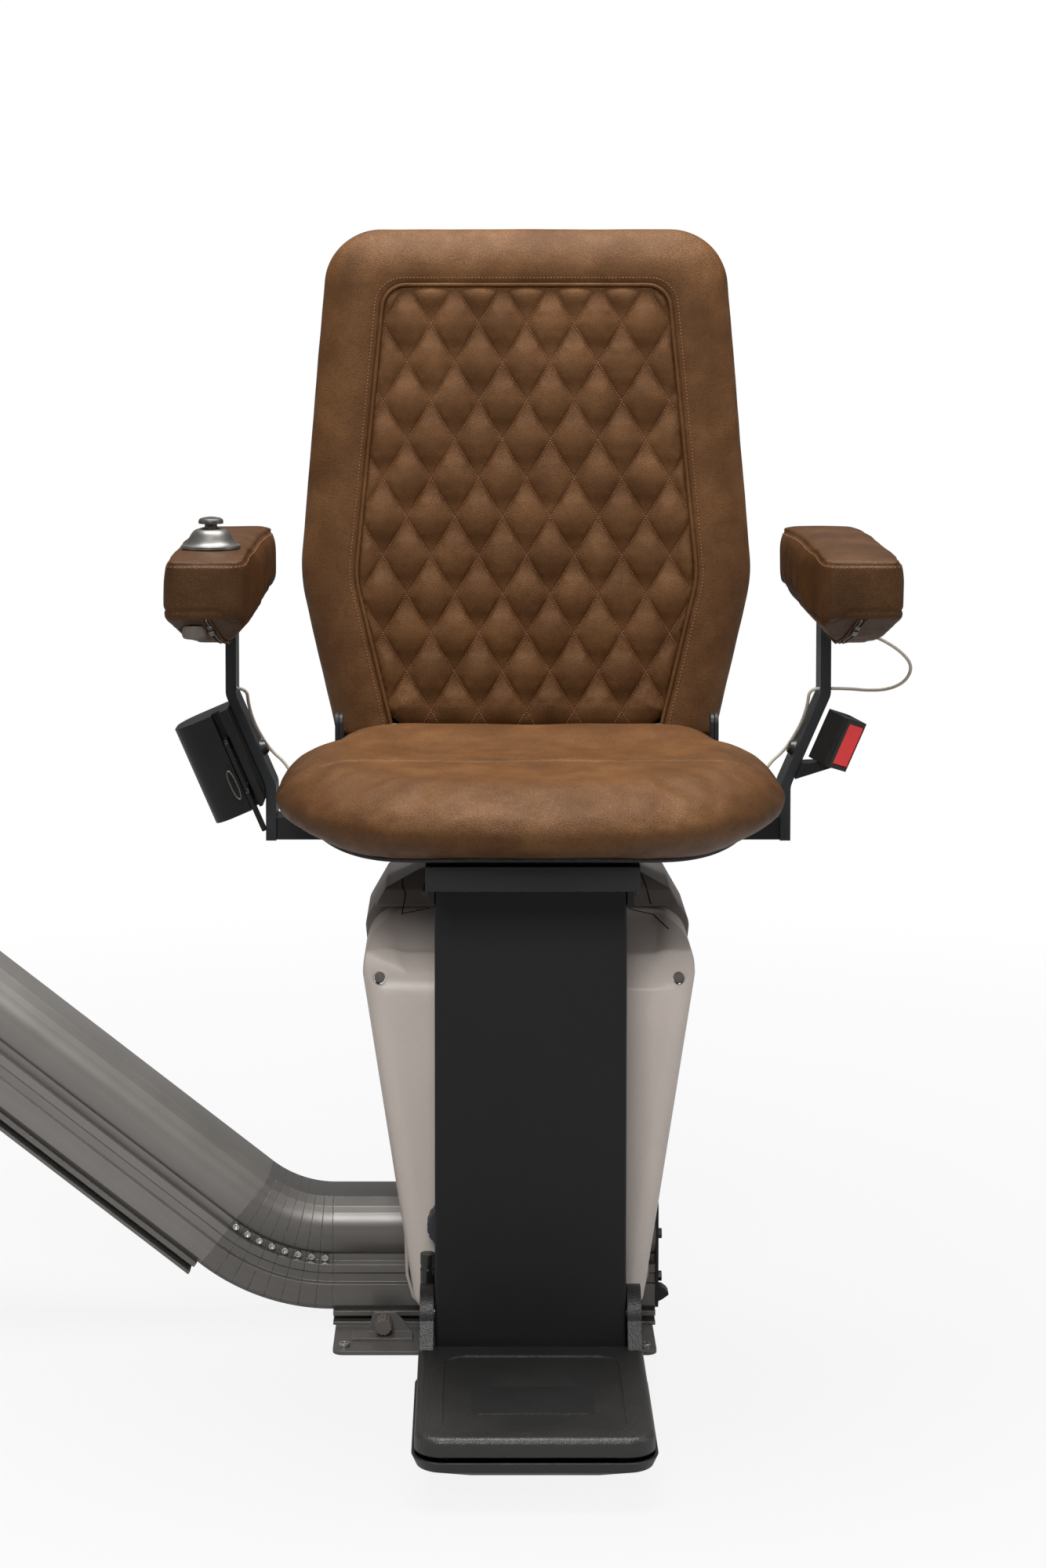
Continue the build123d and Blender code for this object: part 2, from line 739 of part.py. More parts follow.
with BuildPart() as upper_housing:
    add(housing_solid(0))
    add(housing_solid(cover_wall), mode=Mode.SUBTRACT)
    with BuildSketch(Plane.XY.offset(housing_top - 20)):
        with Locations((0, (mast_front + mast_back) / 2)):
            RectangleRounded(2 * mast_half_width + 2, mast_back - mast_front + 2, 7)
    extrude(amount=40, mode=Mode.SUBTRACT)
finish(upper_housing, "upper_housing")

with BuildPart() as side_skirt:
    with BuildSketch(facing(chassis_face + skirt_depth)):
        with BuildLine():
            foot, hip = cover_half_bottom - 6, cover_half_top - 7.5
            Polyline(
                (foot, skirt_bottom), (foot + 12, 40), (foot + 18, 62), (foot + 20, 115),
                (hip, 380), (hip - 33, 418), (-hip + 33, 418), (-hip, 380), (-foot - 20, 115),
                (-foot - 18, 62), (-foot - 12, 40), (-foot, skirt_bottom), close=True,
            )
        make_face()
        offset(amount=-cover_wall, mode=Mode.SUBTRACT)
        with Locations((0, 0)):
            Rectangle(190, 120, mode=Mode.SUBTRACT)
    extrude(amount=skirt_depth - seam)
    # the upper housing closes the top
    with BuildSketch(facing(chassis_face + skirt_depth)):
        with Locations((0, housing_bottom - seam)):
            Rectangle(2 * cover_half_top, housing_top - housing_bottom,
                      align=(Align.CENTER, Align.MIN))
    extrude(amount=skirt_depth, mode=Mode.SUBTRACT)
finish(side_skirt, "side_skirt")

with BuildPart() as cover_screws:
    for side in (-1, 1):
        with BuildSketch(facing(chassis_face - 40)):
            with Locations((side * cover_screw_x, cover_screw_z)):
                Circle(cover_screw_radius - 0.3)
        extrude(amount=58)
finish(cover_screws, "cover_screws")

# =========================================================================================
# Beam, backbone plate and its standoffs, hand-winding knob
# =========================================================================================
flange_inner = plate_half_width + 0.3
with BuildPart() as beam:
    with BuildSketch(facing(beam_back)):
        with BuildLine():
            outer = flange_inner + beam_thickness
            low = beam_top - beam_depth
            Polyline(
                (-outer, low), (-outer, beam_top), (outer, beam_top), (outer, low),
                (flange_inner, low), (flange_inner, beam_top - beam_thickness),
                (-flange_inner, beam_top - beam_thickness), (-flange_inner, low), close=True,
            )
        make_face()
        fillet(vertices().group_by(Axis.Y)[-1], radius=5)
    extrude(amount=beam_back - plate_front)
    with BuildSketch(Plane.XY.offset(beam_top)):
        with Locations((0, swivel_y)):
            Circle(swivel_hub_radius)
    extrude(amount=-beam_thickness, mode=Mode.SUBTRACT)
finish(beam, "beam")

with BuildPart() as front_plate:
    with BuildSketch(Plane.XY.offset(plate_bottom)):
        with BuildLine():
            web_back = plate_front + plate_thickness
            rim = plate_front + plate_flange
            inner = plate_half_width - plate_thickness
            Polyline(
                (-plate_half_width, rim), (-plate_half_width, plate_front),
                (plate_half_width, plate_front), (plate_half_width, rim), (inner, rim),
                (inner, web_back), (-inner, web_back), (-inner, rim), close=True,
            )
        make_face()
        fillet(vertices().group_by(Axis.Y)[0], radius=plate_thickness)
    extrude(amount=beam_top - beam_thickness - plate_bottom)
    with BuildSketch(Plane.YZ.offset(-plate_half_width - 1)):
        with Locations((hinge_y, hinge_z)):
            Circle(hinge_pin_radius)
    extrude(amount=2 * plate_half_width + 2, mode=Mode.SUBTRACT)
    # standoffs welded to the back of the plate, which reach the chassis
    with BuildSketch(facing(chassis_face - chassis_thickness)):
        with Locations((-standoff_x, standoff_z), (standoff_x, standoff_z)):
            Circle(standoff_radius)
    extrude(amount=chassis_face - chassis_thickness - plate_front - plate_thickness)
finish(front_plate, "front_plate")

plate_bolt_y, plate_bolt_z = -216.0, 477.5
with BuildPart() as plate_bolts:
    for side in (-1, 1):
        with BuildSketch(Plane.YZ.offset(side * outer)):
            with Locations((plate_bolt_y, plate_bolt_z)):
                RegularPolygon(6.5, 6)
        extrude(amount=side * 4.5)
finish(plate_bolts, "plate_bolts")

with BuildPart() as hand_wind_knob:
    with BuildSketch(facing(cover_front - 0.3)):
        with Locations((wind_knob_x, wind_knob_z)):
            Circle(wind_knob_radius)
            with PolarLocations(wind_knob_radius + 1, 18):
                Circle(1.8, mode=Mode.SUBTRACT)
    extrude(amount=20)
    fillet(faces().sort_by(Axis.Y)[0].edges(), radius=1)
finish(hand_wind_knob, "hand_wind_knob")

# =========================================================================================
# Footrest: tread with hinge cheeks, sprung safety pan, pins and actuator
# =========================================================================================
cheek_inner = plate_half_width + cheek_gap
with BuildPart() as footrest_pins:
    for side in (-1, 1):
        start = side * (plate_half_width - plate_thickness - 4)
        with BuildSketch(Plane.YZ.offset(start)):
            with Locations((hinge_y, hinge_z)):
                Circle(hinge_pin_radius - running_gap)
        extrude(amount=side * (plate_thickness + 4 + cheek_gap + cheek_thickness - 1))
        with BuildSketch(Plane.YZ.offset(start)):
            with Locations((hinge_y, hinge_z)):
                Circle(hinge_pin_radius + 3)
        extrude(amount=side * 4)
finish(footrest_pins, "footrest_pins")


def tread_outline(inset):
    """Footrest plan: square at the hinge, round at the front corners."""
    half = tread_half_width - inset
    with BuildLine(mode=Mode.PRIVATE) as outline:
        FilletPolyline(
            (-half, tread_back - inset), (-half, tread_front + inset), (half, tread_front + inset),
            (half, tread_back - inset), radius=tread_corner - inset,
        )
        Line((half, tread_back - inset), (-half, tread_back - inset))
    return outline.line


recess_depth = 1.5
with BuildPart() as footrest_tread:
    with BuildSketch(Plane.XY.offset(tread_top - tread_thickness)):
        add(tread_outline(0))
        make_face()
    extrude(amount=tread_thickness)
    fillet(faces().sort_by(Axis.Z)[-1].edges().sort_by(Axis.Y)[:-1], radius=6)
    with BuildSketch(Plane.XY.offset(tread_top)):
        with Locations((0, (tread_front + tread_back) / 2 - 3)):
            RectangleRounded(2 * tread_half_width - 48, tread_back - tread_front - 40, 20)
    extrude(amount=-recess_depth, mode=Mode.SUBTRACT)
    for side in (-1, 1):
        start = cheek_inner if side > 0 else -cheek_inner - cheek_thickness
        with BuildSketch(Plane.YZ.offset(start)):
            with BuildLine():
                Polyline(
                    (tread_back - 12, tread_top - tread_thickness), (tread_back - 10, tread_top),
                    (hinge_y - cheek_radius, hinge_z), (hinge_y, hinge_z),
                    (hinge_y + cheek_radius - 4, hinge_z - 8),
                    (hinge_y + 16, tread_top - tread_thickness), close=True,
                )
            make_face()
            with Locations((hinge_y, hinge_z)):
                Circle(cheek_radius)
                Circle(hinge_pin_radius, mode=Mode.SUBTRACT)
        extrude(amount=cheek_thickness)
    with BuildSketch(Plane.XY.offset(tread_top - tread_thickness)):
        with Locations((0, (pan_front + pan_back) / 2)):
            with GridLocations(150, 130, 2, 2):
                Circle(stud_radius)
    extrude(amount=stud_bottom - tread_top + tread_thickness)
finish(footrest_tread, "footrest_tread")


def pan_solid(inset):
    """Safety pan's outer form: a shallow boat that narrows downwards."""
    half = pan_half_width - inset
    low = pan_bottom + inset
    with BuildPart(mode=Mode.PRIVATE) as form:
        with BuildSketch(Plane.XY.offset(low)):
            with Locations((0, (pan_front + pan_back) / 2)):
                RectangleRounded(2 * half - 76, pan_back - pan_front - 40 - 2 * inset, 14)
        with BuildSketch(Plane.XY.offset(pan_rim - 9)):
            with Locations((0, (pan_front + pan_back) / 2)):
                RectangleRounded(2 * half - 8, pan_back - pan_front - 6 - 2 * inset, 24)
        with BuildSketch(Plane.XY.offset(pan_rim)):
            with Locations((0, (pan_front + pan_back) / 2)):
                RectangleRounded(2 * half, pan_back - pan_front - 2 * inset, 26)
        loft(ruled=True)
    return form.part


with BuildPart() as footrest_pan:
    add(pan_solid(0))
    add(pan_solid(pan_wall), mode=Mode.SUBTRACT)
    with BuildSketch(Plane.XY.offset(pan_bottom + 1)):
        with Locations((0, (pan_front + pan_back) / 2)):
            with GridLocations(150, 130, 2, 2):
                Circle(stud_radius + 3)
    extrude(amount=pan_rim - pan_bottom - 6)
    with BuildSketch(Plane.XY.offset(pan_bottom + pan_wall)):
        with Locations((0, (pan_front + pan_back) / 2)):
            with GridLocations(150, 130, 2, 2):
                Circle(stud_radius + 0.2)
    extrude(amount=pan_rim - pan_bottom, mode=Mode.SUBTRACT)
finish(footrest_pan, "footrest_pan")

actuator_radius = 7.0
actuator_x, actuator_y = -plate_half_width - actuator_radius - 0.3, -184.0
with BuildPart() as footrest_actuator:
    with BuildSketch(Plane.XY.offset(60)):
        with Locations((actuator_x, actuator_y)):
            Circle(actuator_radius)
    extrude(amount=66)
    with BuildSketch(Plane.XY.offset(112)):
        with Locations((actuator_x, actuator_y)):
            Circle(actuator_radius)
            Circle(actuator_radius - 0.6, mode=Mode.SUBTRACT)
    extrude(amount=4, mode=Mode.SUBTRACT)
    with BuildSketch(Plane.XY.offset(80)):
        with Locations((actuator_x + actuator_radius - 2, actuator_y)):
            Rectangle(12, 6, align=(Align.MIN, Align.CENTER))
        # tab behind the plate's flange
        with Locations((-plate_half_width + plate_thickness + 0.3, plate_front + plate_flange - 8)):
            Rectangle(4, actuator_y - plate_front - plate_flange + 14, align=Align.MIN)
    extrude(amount=24)
finish(footrest_actuator, "footrest_actuator")

# =========================================================================================
# Swivel, seat frame, seat pan and cushion
# =========================================================================================
with BuildPart() as swivel_base:
    with BuildSketch(Plane.XY.offset(beam_top)):
        with Locations((0, swivel_y)):
            Circle(bearing_radius)
    extrude(amount=bearing_height)
    with BuildSketch(Plane.XY.offset(beam_top - beam_thickness)):
        with Locations((0, swivel_y)):
            Circle(swivel_hub_radius - running_gap)
    extrude(amount=frame_top - beam_top + beam_thickness - 2)
finish(swivel_base, "swivel_base")

runner_back = 57.0
with BuildPart() as seat_frame:
    with BuildSketch(Plane.XY.offset(frame_bottom)):
        with Locations((0, swivel_y)):
            RectangleRounded(2 * runner_x + tube_width, 170, 12)
            Circle(swivel_hub_radius, mode=Mode.SUBTRACT)
    extrude(amount=turret_plate)
    with BuildSketch(Plane.XY.offset(frame_tube_bottom)):
        for side in (-1, 1):
            with Locations((side * runner_x, runner_front)):
                Rectangle(tube_width, runner_back - runner_front, align=(Align.CENTER, Align.MIN))
        with Locations((0, cross_y)):
            Rectangle(2 * frame_half_width, tube_width)
        with Locations((0, runner_front + tube_width / 2)):
            Rectangle(2 * runner_x, tube_width)
    extrude(amount=tube_height)
finish(seat_frame, "seat_frame")

with BuildPart() as seat_buffers:
    with BuildSketch(Plane.XY.offset(frame_top)):
        with Locations((-runner_x, -300), (runner_x, -300), (-runner_x, -60), (runner_x, -60)):
            Circle(9)
    extrude(amount=buffer_height)
finish(seat_buffers, "seat_buffers")


def seat_outline(grow):
    """Half-round seat plan that flares from the back to the front; grow widens it all round."""
    half, rear_half = seat_half_width + grow, seat_rear_half + grow
    front, rear = seat_front - grow, seat_rear + grow
    with BuildLine(mode=Mode.PRIVATE) as outline:
        Line((-rear_half + 34, rear), (rear_half - 34, rear))
        for side in (-1, 1):
            Spline(
                (side * (rear_half - 34), rear),
                (side * (rear_half + 2), rear - 38),
                (side * (half - 12), (rear + seat_widest) / 2 - 4),
                (side * half, seat_widest),
                tangents=((side, 0), (0, -1)),
            )
            Spline(
                (side * half, seat_widest),
                (side * (half * 0.76), seat_widest + (front - seat_widest) * 0.68),
                (0, front),
                tangents=((0, -1), (-side, 0)),
            )
    return Wire(outline.edges())


with BuildPart() as seat_pan:
    with BuildSketch(Plane.XY.offset(seat_pan_bottom)):
        make_face(seat_outline(-16))
    extrude(amount=pan_plate)
    for side in (-1, 1):
        start = fold_lug_x + fold_lug_thickness + fold_lug_gap
        with BuildSketch(Plane.XY.offset(seat_pan_bottom)):
            with Locations((side * (start + fold_lug_thickness), fold_y + 12)):
                Rectangle(40, 62, align=(Align.MAX if side > 0 else Align.MIN, Align.MAX))
        extrude(amount=pan_plate)
        with BuildSketch(Plane.YZ.offset(side * start)):
            with Locations((fold_y - 1, seat_pan_bottom)):
                Rectangle(20, fold_z - seat_pan_bottom, align=(Align.CENTER, Align.MIN))
            with Locations((fold_y - 1, fold_z)):
                Circle(10)
            with Locations((fold_y, fold_z)):
                Circle(fold_pin_radius, mode=Mode.SUBTRACT)
        extrude(amount=side * fold_lug_thickness)
finish(seat_pan, "seat_pan")

seat_sections = (
    (cushion_bottom, -12.0),
    (cushion_bottom + 16, -1.0),
    (cushion_bottom + 32, 0.0),
    (cushion_bottom + 52, -13.0),
    (seat_crest - 3.5, -40.0),
    (seat_crest, -82.0),
)
with BuildPart() as seat_cushion:
    for height, grow in seat_sections:
        with BuildSketch(Plane.XY.offset(height)):
            make_face(seat_outline(grow))
    loft()
    # shallow cross seam where the flat of the seat meets the rolled front
    with Locations((0, seam_y, seat_crest)):
        Box(2 * seat_half_width, 3, 3, rotation=(45, 0, 0), mode=Mode.SUBTRACT)
finish(seat_cushion, "seat_cushion")

# =========================================================================================
# Back: hinge bracket, uprights, shell and quilted cushion
# =========================================================================================
lean = math.radians(back_lean)
back_plane = Plane(
    origin=(0, back_front, back_foot),
    x_dir=(1, 0, 0),
    z_dir=(0, -math.cos(lean), math.sin(lean)),
)


def back_outline(plane, inset):
    """Back seen from the front: narrow foot, widest low down, wide round shoulders."""
    with BuildSketch(plane) as outline:
        with BuildLine():
            Polyline(
                (-back_half_foot + inset, inset * 0.3),
                (-back_half_wide + inset, back_widest),
                (-back_half_top + inset, back_height - inset),
                (back_half_top - inset, back_height - inset),
                (back_half_wide - inset, back_widest),
                (back_half_foot - inset, inset * 0.3),
                close=True,
            )
        make_face()
        fillet(vertices().group_by(Axis.Y)[1], radius=150 - inset)
        fillet(vertices().group_by(Axis.Y)[-1], radius=58 - inset * 0.6)
        fillet(vertices().group_by(Axis.Y)[0], radius=8)
    return outline.sketch


back_sections = ((0.0, panel_inset - 6), (2.2, 34.0), (8.0, 12.0), (19.0, 1.0), (30.0, 0.0),
                 (back_thickness, 7.0))
# stitched furrows of the quilting: two families of V grooves that cross in diamonds
quilt_angle = math.degrees(math.atan2(diamond_height, diamond_width))
furrows_each_side = 5 + math.ceil(back_half_wide / diamond_width)


def quilt_furrows(angle):
    """Parallel V grooves at angle across the back's front face, kept inside the panel."""
    with BuildPart(mode=Mode.PRIVATE) as furrows:
        middles = [Location((index * diamond_width, back_height / 2, 0), (0, 0, angle))
                   for index in range(-furrows_each_side, furrows_each_side + 1)]
        with Locations(*[back_plane * middle for middle in middles]):
            Box(2 * back_height, quilt_depth * 2 ** 0.5, quilt_depth * 2 ** 0.5,
                rotation=(45, 0, 0))
        extrude(back_outline(back_plane.offset(2 * quilt_depth), panel_inset),
                amount=-4 * quilt_depth, mode=Mode.INTERSECT)
    return furrows.part


with BuildPart() as back_cushion:
    for depth, inset in back_sections:
        add(back_outline(back_plane.offset(-depth), inset))
    loft()
    for angle in (quilt_angle, -quilt_angle):
        add(quilt_furrows(angle), mode=Mode.SUBTRACT)
finish(back_cushion, "back_cushion")

shell_front = back_thickness + soft_gap
with BuildPart() as back_shell:
    extrude(back_outline(back_plane.offset(-shell_front), 7.0), amount=-shell_thickness)
finish(back_shell, "back_shell")

upright_front = shell_front + shell_thickness
upright_thickness, upright_width = 8.0, 26.0
upright_foot, upright_head = -84.0, 300.0
bracket_back, bracket_low, bracket_high, bracket_plate = 63.0, 548.0, 587.0, 4.0
fold_lug_end = fold_lug_x + fold_lug_thickness
with BuildPart() as back_frame:
    with BuildSketch(back_plane.offset(-upright_front)):
        with Locations((-upright_x, upright_foot), (upright_x, upright_foot)):
            Rectangle(upright_width, upright_head - upright_foot, align=(Align.CENTER, Align.MIN))
    extrude(amount=-upright_thickness)
    with BuildSketch(Plane.XY.offset(bracket_low)):
        with Locations((0, bracket_back)):
            Rectangle(2 * fold_lug_end, bracket_plate, align=(Align.CENTER, Align.MAX))
    extrude(amount=bracket_high - bracket_low)
    # cheeks that carry the seat's fold pins
    for side in (-1, 1):
        with BuildSketch(Plane.YZ.offset(side * fold_lug_x)):
            with BuildLine():
                Polyline(
                    (bracket_back, bracket_low), (bracket_back, bracket_high),
                    (back_front - 1, bracket_high), (fold_y + fold_boss_radius, fold_z),
                    (fold_y - fold_boss_radius, fold_z),
                    (fold_y - fold_boss_radius, bracket_low + 14),
                    (fold_y + fold_boss_radius, bracket_low), close=True,
                )
            make_face()
            with Locations((fold_y, fold_z)):
                Circle(fold_boss_radius)
        extrude(amount=side * fold_lug_thickness)
        with BuildSketch(Plane.YZ.offset(side * fold_lug_x)):
            with Locations((fold_y, fold_z)):
                Circle(fold_pin_radius - running_gap)
        extrude(amount=side * (2 * fold_lug_thickness + fold_lug_gap + 0.5))
finish(back_frame, "back_frame")

# =========================================================================================
# Arms: cranked flat bars, pads that fold up on a pin, joystick, belt reel and buckle
# =========================================================================================
crank = math.atan2(arm_x - arm_foot_x, arm_kink_high - arm_kink_low)


def bar_plane(side, along=0.0):
    """Plane on the cranked stretch of an arm bar: local z points outwards, local y up the bar."""
    rise = belt_bolt_z - arm_kink_low
    up = Vector(side * math.sin(crank), 0, math.cos(crank))
    out = Vector(side * math.cos(crank), 0, -math.sin(crank))
    origin = Vector(side * (arm_foot_x + rise * math.tan(crank)), bar_y, belt_bolt_z)
    return Plane(origin=origin + up * along, x_dir=(0, side, 0), z_dir=out)


bar_half = bar_thickness / 2 * math.cos(crank)
belt_bolt_radius = 5.0
for side, name in ((-1, "arm_bar_left"), (1, "arm_bar_right")):
    with BuildPart() as arm_bar:
        with BuildSketch(facing(bar_y + bar_depth / 2)):
            with BuildLine():
                spine = [(arm_foot_x, frame_tube_bottom), (arm_foot_x, arm_kink_low),
                         (arm_x, arm_kink_high), (arm_x, arm_pivot_z + bar_depth / 2)]
                outer_side = [(side * (x + bar_thickness / 2), z) for x, z in spine]
                inner_side = [(side * (x - bar_thickness / 2), z) for x, z in reversed(spine)]
                Polyline(*outer_side, *inner_side, close=True)
            make_face()
            kinks = vertices().filter_by(
                lambda v: arm_kink_low - 1 < v.Y < arm_kink_high + 1
            )
            fillet(kinks, radius=18)
        extrude(amount=bar_depth)
        top_edges = edges().filter_by(Axis.X).group_by(Axis.Z)[-1]
        fillet(top_edges, radius=bar_depth / 2 - 0.1)
        with BuildSketch(bar_plane(side).offset(-bar_thickness)):
            Circle(belt_bolt_radius)
        extrude(amount=2 * bar_thickness, mode=Mode.SUBTRACT)
        # hinge pin pressed through the top of the bar
        with BuildSketch(Plane.YZ.offset(side * (arm_x - core_half_width + 1))):
            with Locations((bar_y, arm_pivot_z)):
                Circle(arm_pin_radius - running_gap)
        extrude(amount=side * (2 * core_half_width - 2))
    finish(arm_bar, name)

with BuildPart() as belt_bolts:
    for side in (-1, 1):
        with BuildSketch(bar_plane(side).offset(-bar_half)):
            Circle(belt_bolt_radius - running_gap)
        extrude(amount=2 * bar_half)
        head_plane = bar_plane(side).offset(-bar_half)
        with BuildSketch(head_plane):
            Circle(9)
        extrude(amount=-5, taper=32)
finish(belt_bolts, "belt_bolts")

core_low = pad_keel + 6
for side, name in ((-1, "arm_core_left"), (1, "arm_core_right")):
    with BuildPart() as arm_core:
        with BuildSketch(Plane.YZ.offset(side * (arm_x - core_half_width))):
            with BuildLine():
                Polyline(
                    (core_front, core_low + 12), (core_front, core_top), (pad_rear - 4, core_top),
                    (pad_rear - 4, core_low), (core_front + 16, core_low), close=True,
                )
            make_face()
        extrude(amount=side * 2 * core_half_width)
        slot_half = bar_thickness / 2 + slot_gap
        with BuildSketch(Plane.YZ.offset(side * (arm_x - slot_half))):
            with BuildLine():
                reach = bar_depth / 2 + slot_gap
                Polyline(
                    (bar_y - reach, core_low - 5), (bar_y - reach, arm_pivot_z + reach),
                    (pad_rear + 5, arm_pivot_z + reach), (pad_rear + 5, core_low - 5), close=True,
                )
            make_face()
        extrude(amount=side * 2 * slot_half, mode=Mode.SUBTRACT)
        with BuildSketch(Plane.YZ.offset(side * (arm_x - core_half_width - 1))):
            with Locations((bar_y, arm_pivot_z)):
                Circle(arm_pin_radius)
        extrude(amount=side * (2 * core_half_width + 2), mode=Mode.SUBTRACT)
    finish(arm_core, name)

pad_button_x, pad_button_y = -(arm_x + 11), -345.0
pad_button_radius, pad_button_low, pad_button_high = 11.0, 727.0, 739.0
pad_button_travel = 2.0
for side, name in ((-1, "arm_pad_left"), (1, "arm_pad_right")):
    with BuildPart() as arm_pad:
        with BuildSketch(Plane.XY.offset(pad_keel)):
            with BuildLine():
                outside = side * (arm_x + pad_half_width)
                inside_front = side * (arm_x - pad_half_width + 2)
                inside_rear = side * (arm_x - pad_half_width - 3.5)
                Polyline(
                    (inside_front, pad_front + 60), (inside_front, pad_front), (outside, pad_front),
                    (outside, pad_rear), (inside_rear, pad_rear), (inside_rear, pad_front + 130),
                )
                Spline(
                    (inside_rear, pad_front + 130), (inside_front, pad_front + 60),
                    tangents=((0, -1), (0, -1)),
                )
            make_face()
            fillet(vertices().group_by(Axis.Y)[0], radius=15)
            fillet(vertices().group_by(Axis.Y)[-1], radius=12)
        extrude(amount=pad_top + 5 - pad_keel)
        with BuildSketch(facing(pad_rear + 5), mode=Mode.PRIVATE) as across:
            with BuildLine():
                Polyline(
                    (side * (arm_x - 12), pad_keel), (side * (arm_x - 42), pad_nose),
                    (side * (arm_x - 41), pad_top - 26), (side * (arm_x - 35), pad_top + 1),
                    (side * (arm_x + 33), pad_top + 1), (side * (arm_x + 37), pad_top - 26),
                    (side * (arm_x + 36), pad_nose), (side * (arm_x + 14), pad_keel), close=True,
                )
            make_face()
            fillet(vertices().group_by(Axis.Y)[-1], radius=6)
            fillet(vertices().group_by(Axis.Y)[1], radius=8)
        extrude(across.sketch, amount=400, mode=Mode.INTERSECT)
        with BuildSketch(Plane.YZ.offset(-400), mode=Mode.PRIVATE) as along:
            with BuildLine():
                ThreePointArc((pad_front, pad_top - pad_crown), (pad_middle, pad_top),
                              (pad_rear, pad_top - pad_crown - 1))
                Polyline(
                    (pad_rear, pad_top - pad_crown - 1), (pad_rear, pad_keel + 16),
                    (pad_rear - 14, pad_keel),
                    (pad_front + 80, pad_keel), (pad_front + 42, pad_keel + 10),
                    (pad_front + 1, pad_nose), (pad_front, pad_top - pad_crown),
                )
            make_face()
            fillet(vertices().sort_by(Axis.Y)[-2:], radius=6)
        extrude(along.sketch, amount=800, mode=Mode.INTERSECT)
        with BuildSketch(Plane.YZ.offset(side * (arm_x - core_half_width - soft_gap))):
            with BuildLine():
                Polyline(
                    (core_front - soft_gap, pad_keel - 5), (core_front - soft_gap, core_top + soft_gap),
                    (pad_rear + 5, core_top + soft_gap), (pad_rear + 5, pad_keel - 5), close=True,
                )
            make_face()
        extrude(amount=side * 2 * (core_half_width + soft_gap), mode=Mode.SUBTRACT)
        if side < 0:
            with BuildSketch(Plane.XY.offset(pad_keel - 5)):
                with Locations((pad_button_x, pad_button_y)):
                    Circle(pad_button_radius + soft_gap)
            extrude(amount=pad_button_high + pad_button_travel + soft_gap - pad_keel + 5,
                    mode=Mode.SUBTRACT)
    finish(arm_pad, name)

with BuildPart() as pad_button:
    with BuildSketch(Plane.XY.offset(pad_button_low)):
        with Locations((pad_button_x, pad_button_y)):
            Circle(pad_button_radius)
    extrude(amount=pad_button_high - pad_button_low)
    fillet(faces().sort_by(Axis.Z)[0].edges(), radius=3)
finish(pad_button, "pad_button")

# the pad's crown has fallen this much where the turret's rear edge rests on it
crown_fall = pad_crown * ((pad_middle - turret_y - turret_radius) / (pad_middle - pad_front)) ** 2
turret_low = pad_top + soft_gap - crown_fall
turret_bore = 8.0
with BuildPart() as joystick_turret:
    with BuildSketch(Plane.XZ):
        with BuildLine():
            Polyline((0, turret_low), (turret_radius, turret_low), (turret_radius, turret_low + 2.5))
            Spline(
                (turret_radius, turret_low + 2.5), (turret_radius - 4.5, turret_low + 5.5),
                (turret_radius - 9, turret_low + 13), (turret_bore + 2, turret_low + turret_height),
            )
            Polyline(
                (turret_bore + 2, turret_low + turret_height),
                (turret_bore, turret_low + turret_height), (turret_bore, button_tilt_z - 5.8),
                (0, button_tilt_z - 5.8), (0, turret_low),
            )
        make_face()
    revolve(axis=Axis.Z)
joystick_turret.part.position = (-arm_x, turret_y, 0)
finish(joystick_turret, "joystick_turret")

ball_radius, cap_low, cap_thickness = 5.5, 6.5, 6.0
with BuildPart() as joystick_button:
    with BuildSketch(Plane.XZ):
        with BuildLine():
            CenterArc((0, 0), ball_radius, -90, 90)
            Polyline((ball_radius, 0), (ball_radius, cap_low), (button_radius, cap_low))
            Line((button_radius, cap_low), (button_radius, cap_low + 1.5))
            Spline(
                (button_radius, cap_low + 1.5), (button_radius * 0.6, cap_low + cap_thickness - 0.8),
                (0, cap_low + cap_thickness), tangents=((0, 1), (-1, 0)),
            )
            Line((0, cap_low + cap_thickness), (0, -ball_radius))
        make_face()
    revolve(axis=Axis.Z)
joystick_button.part.position = (-arm_x, turret_y, button_tilt_z)
finish(joystick_button, "joystick_button")

# Belt reel on the left bar, with the tongue parked in front of its slot
reel_width, reel_depth, reel_length = 56.0, 62.0, 98.0
reel_gap = 0.45
tongue_seat = 16.0              # how deep the tongue sits in the slot of the reel's front
reel_plane = bar_plane(-1, -reel_length / 2 + 4)
reel_foot = Plane(
    origin=reel_plane.origin + reel_plane.z_dir * (bar_half + reel_gap) + Vector(0, -5, 0),
    x_dir=reel_plane.z_dir,
    z_dir=reel_plane.y_dir,
)
with BuildPart() as belt_reel:
    with BuildSketch(reel_foot):
        with Locations((reel_width / 2, reel_depth / 2 - bar_depth / 2)):
            Rectangle(reel_width, reel_depth)
        fillet(vertices().group_by(Axis.X)[-1], radius=20)
        fillet(vertices().group_by(Axis.X)[0], radius=3)
        with Locations((13, reel_depth - bar_depth / 2)):
            Rectangle(8, 2 * (tongue_seat + soft_gap), mode=Mode.SUBTRACT)
    extrude(amount=reel_length)
    # relieved where the bar turns upright
    with BuildSketch(Plane.XY.offset(frame_tube_bottom)):
        with Locations((-(arm_foot_x + bar_thickness / 2 + 2 * reel_gap), bar_y)):
            Rectangle(40, 2 * reel_depth, align=(Align.MIN, Align.CENTER))
    extrude(amount=arm_kink_low + 4 - frame_tube_bottom, mode=Mode.SUBTRACT)
finish(belt_reel, "belt_reel")

